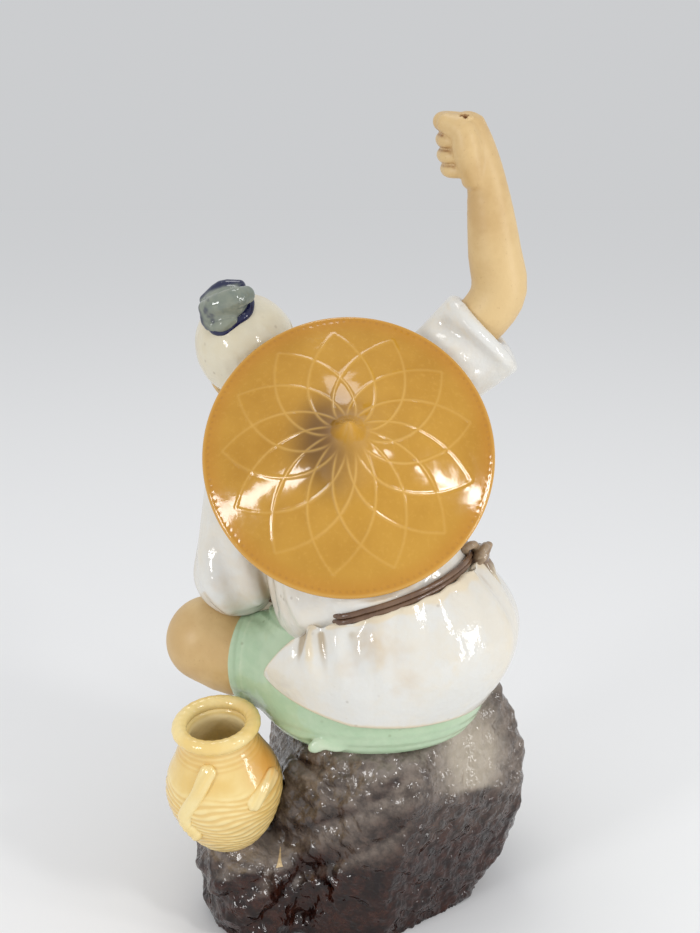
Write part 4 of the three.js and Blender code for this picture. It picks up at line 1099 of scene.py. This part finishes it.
BELT_INPUTS = {"Strand Radius": 0.00095, "Spacing": 0.002}
tree, inputs = geometry_tree("belt_strands", BELT_INPUTS)
strands = tree.node("GeometryNodeJoinGeometry")
for side in (-0.5, 0.5):
    lift = tree.node("ShaderNodeCombineXYZ", {"Z": inputs["Spacing"] * side})
    strand = tree.change(inputs["Geometry"], "SetPosition", Offset=lift)
    tree.nodes.links.new(strand.output, strands.output.node.inputs[0])
circle = {"Resolution": 10, "Radius": inputs["Strand Radius"]}
ring = tree.node("GeometryNodeCurvePrimitiveCircle", circle)
swept = tree.node("GeometryNodeCurveToMesh", {"Curve": strands, "Profile Curve": ring})
end_tree(tree, tree.change(swept, "SetShadeSmooth"), belt_glaze)
belt_path = []
for degrees in np.arange(0, 360, 3):
    tucked = 5 * (1 - smooth_step(degrees, 58, 74)) + 5 * smooth_step(degrees, 330, 350)
    place = on_robe(math.radians(degrees))
    inward = unit(np.array([WAIST[0] - place[0], WAIST[1] - place[1], 0]))
    belt_path.append(place + inward * tucked)
fitted(baked(ring_curve("belt_cord", belt_path), tree, BELT_INPUTS), ["belt_cord"])

KNOT = (-42.0, 20.0, 132.5)
# The knot's two loops and two hanging ends, as paths from its middle and their radius, in mm
KNOT_LOOPS = [
    ([(0, 0, 1), (-2, 3.4, 4), (-0.4, 5.4, 2.4), (1, 3, 0)], 1.4),
    ([(0, 0, 1), (2, 5, 5), (5, 6, 4), (4, 2, 1)], 1.4),
    ([(0, 0, 0), (-4, -3, -5), (-5.5, -5, -12)], 1.7),
    ([(0, 0, 0), (-4, 2, -6), (-7, 2, -12)], 1.6),
]


def knot(p):
    whole = ball(p, KNOT, (3.8, 4.2, 3.8))
    for path, radius in KNOT_LOOPS:
        tie = limb(p, [(*moved(KNOT, *at), radius) for at in path], cap=0.9)
        whole = merge(whole, tie, 0.8)
    wrap = rows_from(KNOT, (-3.5, 0, 3.5, 1.3), (-1, 4.4, 0, 1.3), (2.5, 1, -3.6, 1.3))
    return merge(whole, limb(p, wrap), 0.5)


def pale_ends(tree, color):
    """White glaze of the robe that ran over the hanging ends."""
    height = tree.axes(tree.place())["Z"]
    return tree.coated(color, ((1 - height.between(0.124, 0.131)) * 0.75, 222, 210, 182))


knot_glaze = glaze("knot_glaze", (168, 146, 118), (100, 76, 62), (52, 34, 28), 0.12, pale_ends)
clay("belt_knot", knot, knot_glaze, 0.45)


# Neck and chest, arms and hands
# Bare skin in the same unglazed tan clay as the legs. The right hand is a fist, still with the
# ragged hole where a rod was glued in; the left one lies on the knee.
LEFT_PALM = (46, -32, 105)
RIGHT_WRIST, RIGHT_FIST = (-45, -5, 252), (-38, -4, 265.5)
CHEST_FOLDS = [
    ([(14, -22, 168), (6, -24, 160), (3, -24, 150)], 1.6, 0.5),
    ([(22, -15, 171), (14, -20, 168), (6, -17, 171)], 1.8, -0.7),
]


def chest_and_neck(p):
    return under_hat(p, folded(p, bare_chest(p), CHEST_FOLDS))


def right_arm(p):
    rows = rows_between(RIGHT_SHOULDER, RIGHT_ELBOW, (0.5, 9))
    rows += rows_from(part_way(RIGHT_SHOULDER, RIGHT_ELBOW, 0.85), (0.8, 0, 0, 9))
    rows += rows_from(RIGHT_ELBOW, (1.9, 0, 4, 9.3))
    rows += rows_from(part_way(RIGHT_ELBOW, RIGHT_WRIST, 0.4), (1.2, 0, 0, 8.9))
    rows += rows_from(part_way(RIGHT_ELBOW, RIGHT_WRIST, 0.75), (0.9, 0, 0, 7.7))
    rows += rows_from(RIGHT_WRIST, (0.9, 0, 0, 6.5), (3.4, 0.5, 6, 7), (6.2, 1, 12, 7.3))
    rows += rows_from(RIGHT_WRIST, (8.4, 1, 18, 6.6))
    wrist_bone = ball(p, moved(RIGHT_WRIST, 6.8, 2, 0.4), (2.2, 2.2, 2))
    hand = merge(limb(p, rows, cap=0.55), wrist_bone, 1.4)
    for reach, height, size in ((1.2, 0.2, 2.5), (0.8, -4.7, 2.45), (-0.4, -9.2, 2.4)):
        finger = rows_from(
            moved(RIGHT_FIST, 6.4 + reach, 0, height),
            (-8, -8, 1, size),
            (-0.4, -7, 0.4, size + 0.1),
            (0, 0.6, -0.2, size),
            (-3.6, 3.2, -0.4, size - 0.2),
        )
        hand = merge(hand, limb(p, finger, cap=0.9), 0.9)
    first_finger = rows_from(RIGHT_FIST, (0, -7, 5.8, 3), (6.6, -6.4, 6.2, 3.1), (8.6, -1, 6, 3.1))
    first_finger += rows_from(RIGHT_FIST, (4.4, 2, 5.4, 3.2))
    thumb = rows_from(RIGHT_WRIST, (5, 3, 2, 4.4))
    thumb += rows_from(RIGHT_FIST, (0.6, 5.2, -4, 4.8), (2.2, 5, 2.6, 4.4), (7.6, 2, 5.6, 3.3))
    hand = merge(hand, limb(p, first_finger, cap=0.9), 1.5)
    hand = merge(hand, limb(p, thumb, cap=0.9), 0.7)
    ragged = 0.5 * np.sin(p[:, 0] * 2.9 + p[:, 2] * 1.3) * np.sin(p[:, 1] * 3.1 + 1)
    mouth = moved(RIGHT_FIST, 2, 4.2, 7)
    hand = merge(hand, ball(p, mouth, (2.8, 2.4, 1.5)) - ragged, 0.8)
    hole = limb(p, rows_from(mouth, (0.3, 1.6, 2.4, 1.7), (0, 0.2, -0.2, 1.2))) + 0.6 * ragged
    return carve(hand, hole, 0.4)


def left_arm(p):
    arm = rows_between(LEFT_ELBOW, LEFT_WRIST, (0.3, 7.8), (0.7, 7.3), (1, 5.8))
    arm += rows_between(LEFT_WRIST, LEFT_PALM, (0.5, 5.6))
    palm = rows_between(LEFT_WRIST, LEFT_PALM, (0.4, 6, 5), (1, 8.2, 4.4))
    palm += rows_from(LEFT_PALM, (1, -3, -1, 8, 3.6))
    hand = merge(limb(p, arm), limb(p, palm), 2.5)
    for k in (-1.5, -0.5, 0.5, 1.5):
        finger = rows_from(
            LEFT_PALM,
            (k * 3.7, -2, 0.4, 2.4),
            (k * 4.2 + 1.5, -9, -1.6, 2.3),
            (k * 4.3 + 2.5, -14 + abs(k), -5.6, 1.9),
        )
        hand = merge(hand, limb(p, finger, cap=0.9), 0.8)
    thumb = rows_from(LEFT_PALM, (-5, 2, 0, 2.8), (-10, -2, -2, 2.5), (-11, -7, -4.6, 2))
    return merge(hand, limb(p, thumb, cap=0.9), 1.4)


clay("chest_and_neck", chest_and_neck, skin_clay, 0.9)
clay("right_arm", right_arm, skin_clay, 0.6, ["right_arm", "right_hand"])
clay("left_arm", left_arm, skin_clay, 0.6, ["left_arm", "left_hand"])


# Head
# A calm bearded old man's head in tan clay, tilted to his left, with features pressed and carved
# into the clay. The lids are lowered; the ears are small lobes laid on at the sides.
HEAD_TURN = turned((0, 1, 0), 31) @ turned((1, 0, 0), 8)
HEAD_CENTRE = HEAD_TURN @ np.array([-2, -5, 12.6]) + np.array(CHIN_PIVOT)
SKULL_MIDDLE = (0, 2, 4.2)


def in_head(p):
    """Points in the head's own upright frame, its middle at zero and its face to -Y."""
    return in_frame(p, HEAD_CENTRE, HEAD_TURN)


def skull(q, grow=0.0):
    return ball(q, SKULL_MIDDLE, (15.5 + grow, 18 + grow, 16.8 + grow))


def head(p):
    q = in_head(p)
    whole = merge(skull(q), ball(q, (0, -5, -9.2), (11.2, 11.6, 12)), 6)
    for k in (-1, 1):
        whole = merge(whole, ball(q, (k * 6.6, -12.4, -4.8), (4.6, 4.2, 4.6)), 4)
        whole = carve(whole, ball(q, (k * 5.9, -18.4, 1.2), (4.1, 4.2, 2.9)), 2.2)
        whole = merge(whole, ball(q, (k * 5.9, -13.3, 0.9), (3.0, 2.3, 2.3)), 0.8)
        whole += fold(q, [(k * 3.2, -15.4, 0.2), (k * 5.9, -15.8, -0.5), (k * 8.6, -14.2, 0)], 0.35, 0.35)
        whole -= fold(q, [(k * 3, -15.6, 4.6), (k * 6, -15.8, 5.6), (k * 9.6, -13.2, 4.6)], 1.5, 1.0)
        ear = ball(q, (k * 15.3, 1.2, -2), (1.9, 3.9, 6), turned((0, 0, 1), -k * 16))
        ear = carve(ear, ball(q, (k * 17, 0.6, -1), (1.6, 2.2, 3.6)), 0.8)
        whole = merge(whole, ear, 1.2)
        whole += fold(q, [(k * 3.4, -16.2, -5.6), (k * 6.4, -15, -9), (k * 7.2, -14, -12)], 0.9, 0.5)
    bridge = limb(q, [(0, -15.4, 4, 1.5), (0, -17.2, -1, 1.6), (0, -18.9, -4.6, 2.4)], cap=0.9)
    whole = merge(whole, bridge, 1.6)
    for k in (-1, 1):
        whole = merge(whole, ball(q, (k * 2.5, -17, -5.2), (1.5, 1.7, 1.4)), 0.7)
    lips = [
        [(-4.2, -15.2, -10.6, 0.9), (0, -16.9, -10, 1.2), (4.2, -15.2, -10.6, 0.9)],
        [(-3.6, -15, -12.6, 1), (0, -16.5, -12.8, 1.4), (3.6, -15, -12.6, 1)],
    ]
    for rows in lips:
        whole = merge(whole, limb(q, rows), 0.8)
    whole += fold(q, [(-4.4, -15.6, -11.4), (0, -17.6, -11.4), (4.4, -15.6, -11.4)], 0.4, 0.5)
    return under_hat(p, whole)


clay("head", head, skin_clay, 0.55)


# Hair and topknot
# The hair is a smooth cap of off-white glaze, combed up into a bun at the back of the crown. The
# bun is wrapped in folded cloth: grey-green glaze, with cobalt run into its creases and edges.
def hair(p):
    q = in_head(p)
    cap = skull(q, 2.1)
    cap = merge(cap, ball(q, (0, 11, -6), (11, 8, 9)), 5)
    combed = 0.05 * np.sin(q[:, 0] * 1.4 + np.sin(q[:, 2] * 0.35) * 1.4)
    open_face = ball(q, (0, -18, -9.2), (22, 20, 21))
    form = carve(cap + combed, open_face, 1.2)
    for k in (-1, 1):
        form = carve(form, ball(q, (k * 16.2, 0.6, -3), (3.2, 5, 6.6)), 0.8)
    return under_hat(p, form)


hair_glaze = glaze("hair_glaze", (206, 190, 152), (217, 209, 186), (196, 184, 160), 0.12, warm_runs)
clay("hair", hair, hair_glaze, 0.6)

BUN_TURN = HEAD_TURN @ turned((0, 1, 0), -13) @ turned((1, 0, 0), -42)
BUN_FOOT = HEAD_TURN @ np.array(SKULL_MIDDLE) + HEAD_CENTRE + BUN_TURN @ np.array([0, 0, 18.5])


def tie(p):
    q = in_frame(p, BUN_FOOT, BUN_TURN)
    band = merge(ball(q, (0, 0, -0.4), (9.2, 8.4, 3)), ball(q, (2.5, 4.5, -1.2), (6, 5.4, 2.6)), 2)
    return band + 0.15 * np.sin(np.arctan2(q[:, 1], q[:, 0]) * 5 + q[:, 2])


def topknot(p):
    q = in_frame(p, BUN_FOOT, BUN_TURN)
    whole = ball(q, (0.2, 0.6, 3.8), (8.4, 7.4, 5))
    over = limb(q, [(6.4, 1.8, 5.2, 2.8), (2, 4, 7, 3.6), (-4, 4, 7.2, 3.8), (-8, 1.6, 5.2, 3)], cap=0.9)
    end = limb(q, [(5.6, 2.4, 5.4, 2.7), (7, 4.6, 2.2, 2.6), (5.4, 7, -0.8, 2.2)], cap=0.9)
    under = limb(q, [(5.6, 6.6, 0.4, 2.3), (2, 7.8, 1.4, 2.5), (-1.4, 7.4, 1.9, 1.7)], cap=0.9)
    back = limb(q, [(6.4, -3, 4.2, 2.4), (0, -4.6, 5.8, 2.8), (-6, -3.6, 5, 2.4)], cap=0.9)
    for lap in (back, under, end, over):
        whole = merge(whole, lap, 0.8)
    return whole


def cobalt_runs(tree, color):
    """Cobalt in the creases and in a ragged line round the foot of the cloth."""
    creases = (tree.attribute("hollow") + tree.noise(300, 3, 0.5) * 0.5).between(0.42, 0.8)
    blue = (tree.noise(90, 3, 0.6).between(0.56, 0.68) * 0.7).most(creases)
    start = tuple((BUN_FOOT + SHIFT) / 1000)
    place = tree.node("ShaderNodeVectorMath", {0: tree.place(), 1: start}, operation="SUBTRACT")
    wander = tree.noise(200, 3, 0.6) * 0.003 - 0.0015
    aside, behind, above = [
        tree.node("ShaderNodeVectorMath", {0: place, 1: way}, operation="DOT_PRODUCT")["Value"] + wander
        for way in BUN_TURN.T
    ]
    dipped = 1 - behind.between(-0.0035, -0.001)
    end = aside.between(0.0072, 0.0092)
    low = 1 - above.between(-0.0006, 0.0014)
    for run in (dipped, end, low):
        blue = blue.most(run * 0.95)
    return tree.coated(color, (blue, 16, 22, 64))


tie_glaze = glaze("tie_glaze", (40, 48, 96), (14, 18, 58), (8, 10, 36), 0.08)
topknot_glaze = glaze(
    "topknot_glaze", (172, 172, 146), (104, 114, 108), (40, 50, 80), 0.06, cobalt_runs
)
clay("topknot_tie", tie, tie_glaze, 0.5)
clay("topknot", topknot, topknot_glaze, 0.45)


# Beard
# A moustache and a long parted beard, modelled over the mouth and chin and combed with a fine
# tool before the same off-white glaze as on the hair.
def beard(p):
    q = in_head(p)
    rows = [(0, -11, -11.3, 9, 6), (0, -14, -20, 8.6, 5.2), (0, -13, -31, 5.8, 3.8), (0, -10, -41, 1.8, 1.6)]
    whole = limb(q, rows, steps=5)
    whole += 0.45 * np.abs(np.sin(q[:, 0] * 1.3 + np.sin(q[:, 2] * 0.22) * 1.2))
    whole = carve(whole, ball(q, (0, -17.4, -11.4), (5.4, 4.4, 3.2)), 1.0)
    for k in (-1, 1):
        side = [
            (k * 0.9, -18.1, -8.2, 1.1),
            (k * 4.6, -16.8, -9.4, 1.4),
            (k * 7.6, -14.6, -14, 1.2),
            (k * 8.4, -13.8, -20, 0.7),
        ]
        whole = merge(whole, limb(q, side, cap=0.9), 0.5)
    return whole


clay("beard", beard, hair_glaze, 0.55)


# Hat
# A broad conical hat hung on the back, pressed over a mould with a rosette of fine raised lines and a
# small tip. Amber glaze, thin and light on the lines and ticked along the rim, with painted shade
# round the tip, strongest on its +X side, and a painted highlight on the tip's top.
hat_glaze, tree = material("hat_glaze")
cloud = tree.noise(30, 4, 0.55)
fine = tree.noise(700, 3, 0.6)
out = tree.attribute("out")
# Painted shade: the +X side of the tip is painted darker, as its shaded side.
shaded_side = tree.axes(tree.place())["X"].between(-0.007, 0.012)
painted_tip_shade = out.between(0.03, 0.16) * (1 - out.between(0.2, 0.52)) * (shaded_side * 0.9 + 0.06)
foot_of_tip = out.between(0.05, 0.13) * (1 - out.between(0.13, 0.24))
amber = tree.coated(
    tree.mix(cloud.between(0.3, 0.7), srgb(174, 123, 30), srgb(192, 142, 50)),
    (fine.between(0.5, 0.75) * 0.2, 214, 166, 76),
    # Painted shade round the tip, strongest on the shaded side.
    (painted_tip_shade * cloud.between(0.2, 0.5) * 0.92, 92, 60, 22),
    # Painted shade at the foot of the tip on the shaded side.
    (foot_of_tip * shaded_side * 0.5, 110, 72, 30),
    # Painted highlight on the top of the tip.
    ((1 - out.between(0.0, 0.09)) * 0.4, 216, 166, 82),
    (out.between(0.86, 0.99) * 0.5, 184, 122, 34),
    (tree.attribute("ridge") * 0.5, 222, 176, 94),
    (tree.attribute("tick") * 0.3, 150, 100, 40),
    (tree.attribute("rim") * 0.55, 222, 174, 88),
)
amber = specked(tree, amber, 0.8, (110, 66, 26), 0.66)
uneven = tree.noise(60, 2, 0.4) * 4 + tree.noise(300, 2, 0.5) * 0.25
surface(tree, amber, fine * 0.06 + 0.07, 0.6, Normal=tree.bump(0.5, 0.0003, uneven))

HAT_INPUTS = {
    "Radius": HAT_RADIUS,
    "Height": HAT_HEIGHT,
    "Wall": HAT_WALL,
    "Tip Height": 5.8,
    "Tip Width": 0.082,
    "Petals": 13.0,
    "Twist": 72.0,
    "Petal Reach": 0.88,
    "Line Width": 0.4,
    "Line Height": 0.28,
}
# The shares of the hat's profile that lie on its top, round its rim and on its underside
TOP_SHARE, RIM_SHARE, UNDER_SHARE = 0.74, 0.06, 0.2
tree, inputs = geometry_tree("woven_hat", HAT_INPUTS)
wall, reach = inputs["Wall"], inputs["Petal Reach"]
place = tree.axes(tree.node("GeometryNodeInputPosition"))
angle, along = place["X"], place["Y"]
turn = ((along - TOP_SHARE) / RIM_SHARE).clamped() * math.pi
out = (along / TOP_SHARE).clamped()
out = out.math("MINIMUM", out, 1 - ((along - (TOP_SHARE + RIM_SHARE)) / UNDER_SHARE).clamped())
top_side = 1 - (turn * 9).clamped()
mid_radius = inputs["Radius"] - wall * 0.5
degrees = angle * (180 / math.pi)
period = 360 / inputs["Petals"]


def bell(offset):
    """1 where the offset is 0, falling off to nothing on both sides."""
    return 2.718 ** (0 - offset**2.0)


def petal_line(side):
    """The raised lines of the rosette that lean one way."""
    twisted = (degrees + inputs["Twist"] * (reach - out) * side) / period
    off_line = ((twisted + 100.5).curve("FRACT") - 0.5) * period
    lean = inputs["Twist"] * (math.pi / 180) * out
    off_line = off_line * (math.pi / 180) * out * mid_radius / (1 + lean * lean) ** 0.5
    return bell(off_line / inputs["Line Width"])


shown = out.between(0.1, 0.22) * (1 - out.between(reach, reach + 0.012)) * top_side
shown = shown * (1 - out.between(0.45, 0.85) * 0.5)
ridge = petal_line(-1).most(petal_line(1)) * shown
ticks = (angle * 130.0).curve("SINE").between(0.2, 0.8)
ticks = ticks * out.between(0.972, 0.982) * (1 - out.between(0.992, 1.0)) * top_side
tip = inputs["Tip Height"] * bell(out / inputs["Tip Width"]) * top_side
rim = turn.curve("SINE")
far = mid_radius * out + rim * wall * 0.5
height = inputs["Height"] * cone(out) + turn.curve("COSINE") * wall * 0.5
height = height + tip + ridge * inputs["Line Height"] - ticks * 0.06
shaped = {"X": far * angle.curve("COSINE"), "Y": far * angle.curve("SINE"), "Z": height}
geometry = inputs["Geometry"]
for name, value in {"ridge": ridge, "out": out, "tick": ticks, "rim": rim}.items():
    geometry = tree.change(geometry, "StoreNamedAttribute", Name=name, Value=value)
geometry = tree.change(geometry, "SetPosition", Position=tree.node("ShaderNodeCombineXYZ", shaped))
geometry = tree.change(geometry, "MergeByDistance", Distance=0.002)
geometry = tree.change(
    geometry,
    "Transform",
    Translation=tuple((HAT_CENTRE + SHIFT) / 1000),
    Rotation=(math.radians(HAT_LEAN), 0, 0),
    Scale=(0.001, 0.001, 0.001),
)
end_tree(tree, tree.change(geometry, "SetShadeSmooth"), hat_glaze)


def grid_faces(around, along):
    """The faces of a grid of points, so many rows round a turn and so many points in each."""
    ids = np.arange(around * along).reshape(around, along)
    return np.stack([ids[:-1, :-1], ids[:-1, 1:], ids[1:, 1:], ids[1:, :-1]], -1).reshape(-1, 4)


def sheet_object(name, around, along):
    """A flat grid whose X runs once round a turn and whose Y runs from 0 to 1 along a profile."""
    x, y = np.meshgrid(np.linspace(0, 2 * math.pi, around), np.linspace(0, 1, along), indexing="ij")
    points = np.stack([x, y, 0 * x], -1).reshape(-1, 3)
    mesh = bpy.data.meshes.new(name)
    mesh.from_pydata(points.tolist(), [], grid_faces(around, along).tolist())
    return placed(name, mesh)


hat = sheet_object("hat", around=601, along=151)
fitted(baked(hat, tree, HAT_INPUTS), ["hat"])


# Creel
# A round fish creel standing by the hip, woven in wavy rows below a smooth shoulder, with a rolled rim
# and two raised straps. Pale yellow glaze, run into amber at the neck and under the rim. Painted light
# makes its inside paler.
CREEL_FOOT = np.array([41.5, 26.8, 33.0])
CREEL_TURN = turned((1, 0, 0), -12) @ turned((0, 1, 0), 4)
# Shares of the creel's height with its radius there in mm
CREEL_SIDE = [
    (0.0, 8), (0.04, 11), (0.2, 16.2), (0.42, 19.6),
    (0.58, 18.6), (0.74, 15), (0.86, 12.6), (0.93, 13),
]
CREEL_HEIGHT, CREEL_WALL, CREEL_MOUTH = 49.0, 3.0, 10.0
CREEL_TOP, CREEL_FLOOR = 0.93, 0.09
OUTER_ROWS, INNER_ROWS, AROUND = 120, 40, 361
WEAVE_RADIUS, RIM_RADIUS, RIM_LEVEL = 18.0, 12.3, 0.96
# Where amber glaze ran down the creel's side, in metres
STAIN = (0.0275, 0.0445, 0.0665)

creel_glaze, tree = material("creel_glaze")
cloud = tree.noise(60, 3, 0.55)
fine = tree.noise(500, 3, 0.6)
sunk = (tree.attribute("hollow") + cloud * 0.3 - 0.15).between(0.12, 0.75)
stain = 1 - (tree.distance(STAIN) + cloud * 0.014).between(0.008, 0.022)
yellow = tree.coated(
    tree.mix(cloud.between(0.35, 0.65), srgb(240, 216, 152), srgb(232, 200, 126)),
    (sunk * 0.55, 214, 168, 88),
    (stain * 0.8, 222, 152, 60),
    (tree.attribute("edge").between(0.2, 0.8) * 0.5, 240, 222, 168),
    # Painted light: the inside is painted paler than the glaze outside.
    (tree.attribute("inside"), 250, 232, 182),
)
uneven = tree.noise(400, 2, 0.5) + tree.noise(90, 2, 0.5) * 4
surface(tree, yellow, fine * 0.1 + 0.08, 0.6, Normal=tree.bump(0.4, 0.0003, uneven))

side = smooth_path(CREEL_SIDE, 10)
shares = np.linspace(0, CREEL_TOP, OUTER_ROWS)
outer = np.stack([np.interp(shares, side[:, 0], side[:, 1]), shares * CREEL_HEIGHT], 1)
shares = np.linspace(CREEL_TOP, CREEL_FLOOR, INNER_ROWS)
radii = np.interp(shares, side[:, 0], side[:, 1]) - CREEL_WALL
radii = np.minimum(radii, np.interp(shares, [0.7, 0.85], [30, CREEL_MOUTH]))
inner = np.stack([radii, shares * CREEL_HEIGHT], 1)
foot_ring = np.array([(0.02, 0.4), (4, 0.2), (7, 0)])
floor_ring = np.array([(6, CREEL_HEIGHT * 0.075), (0.02, CREEL_HEIGHT * 0.07)])
profile = np.vstack([foot_ring, outer, inner, floor_ring])
row_numbers = np.arange(len(profile)) - len(foot_ring)
around = np.linspace(0, 2 * math.pi, AROUND)
rings = [
    np.outer(np.cos(around), profile[:, 0]),
    np.outer(np.sin(around), profile[:, 0]),
    np.tile(profile[:, 1], (AROUND, 1)),
]
points = np.stack(rings, -1).reshape(-1, 3) @ CREEL_TURN.T + CREEL_FOOT
faces = grid_faces(AROUND, len(profile))[:, [0, 3, 2, 1]]
marks = {
    "turn": np.repeat(around, len(profile)),
    "share": np.tile(profile[:, 1] / CREEL_HEIGHT, AROUND),
    "outside": np.tile((row_numbers >= 0) & (row_numbers < OUTER_ROWS), AROUND),
    "inside": np.tile(row_numbers > OUTER_ROWS + 1, AROUND),
}

WEAVE_INPUTS = {"Row Height": 2.1, "Strand Width": 7.0, "Depth": 0.34, "Waviness": 0.8}
tree, inputs = geometry_tree("creel_weave", WEAVE_INPUTS)
turn, share, outside = [
    tree.node("GeometryNodeInputNamedAttribute", {"Name": name}, data_type="FLOAT")
    for name in ("turn", "share", "outside")
]
height = share * CREEL_HEIGHT
arc = turn * WEAVE_RADIUS
wander = (turn * 5.0 + height * 0.35).curve("SINE") * inputs["Waviness"]
row = (height + wander) / inputs["Row Height"]
number = row.curve("FLOOR")
phase = arc / inputs["Strand Width"] + number * 0.5
bow = (phase * (2 * math.pi)).curve("SINE")
woven = ((row - number) * math.pi).curve("SINE") * (bow * 0.16 + 0.84)
rings_at_neck = (height * 3.6).curve("SINE") * 0.2 + 0.5
at_neck = share.between(0.76, 0.79)
smooth_band = share.between(0.56, 0.64) * (1 - at_neck)
relief = woven * (1 - share.between(0.56, 0.66)) + smooth_band * 0.7
relief = (relief + at_neck * rings_at_neck - 0.6) * outside * share.between(0.02, 0.07)
push = {0: tree.node("GeometryNodeInputNormal"), "Scale": relief * inputs["Depth"] * 0.001}
push = tree.node("ShaderNodeVectorMath", push, operation="SCALE")
geometry = inputs["Geometry"]
for name, value in {"hollow": (0.45 - relief) * outside, "edge": relief * 1.2}.items():
    geometry = tree.change(geometry, "StoreNamedAttribute", Name=name, Value=value)
geometry = tree.change(geometry, "SetPosition", Offset=push)
end_tree(tree, tree.change(geometry, "MergeByDistance", Distance=0.000002), creel_glaze)
creel = mesh_object("creel_body", points, faces, marks)
fitted(baked(creel, tree, WEAVE_INPUTS), ["creel_body"])


def creel_rim(p):
    q = in_frame(p, CREEL_FOOT, CREEL_TURN)
    turn = np.arctan2(q[:, 1], q[:, 0])
    off = np.hypot(q[:, 0], q[:, 1]) - RIM_RADIUS
    up = q[:, 2] - CREEL_HEIGHT * RIM_LEVEL
    return oval([off, up], [2.5, 2.35]) + 0.05 * np.sin(turn * 26 + np.arctan2(up, off) * 2)


clay("creel_rim", creel_rim, creel_glaze, 0.45)


def strap(p, rows):
    """A flat band of clay laid on the creel, from rows of degrees, share of its height and reach."""
    q = in_frame(p, CREEL_FOOT, CREEL_TURN)
    line = []
    for degrees, share, far in rows:
        a = math.radians(degrees)
        line.append((math.cos(a) * far, math.sin(a) * far, share * CREEL_HEIGHT))
    line = smooth_path(line, 4)
    best = np.full(len(q), 1e3)
    for a, b in zip(line[:-1], line[1:]):
        along = b - a
        share = np.clip((q - a) @ along / (along @ along), 0, 1)
        middle = a + share[:, None] * along
        out = unit(middle * [1, 1, 0.2])
        off = q - middle
        deep = (off * out).sum(1)
        wide = np.sqrt(np.maximum((off**2).sum(1) - deep**2, 0))
        best = np.minimum(best, oval([wide, deep], [2.7, 1.6]))
    return best + 0.12 * np.sin(q[:, 0] * 2.2 + q[:, 2] * 1.6)


STRAPS = {
    "creel_strap_left": [(80, 0.79, 14.3), (68, 0.64, 17.3), (52, 0.44, 19.5), (60, 0.31, 18.3)],
    "creel_strap_right": [(127, 0.53, 19.1), (142, 0.585, 18.7), (160, 0.61, 18.4)],
}
for name, rows in STRAPS.items():
    clay(name, lambda p, rows=rows: strap(p, rows), creel_glaze, 0.45)
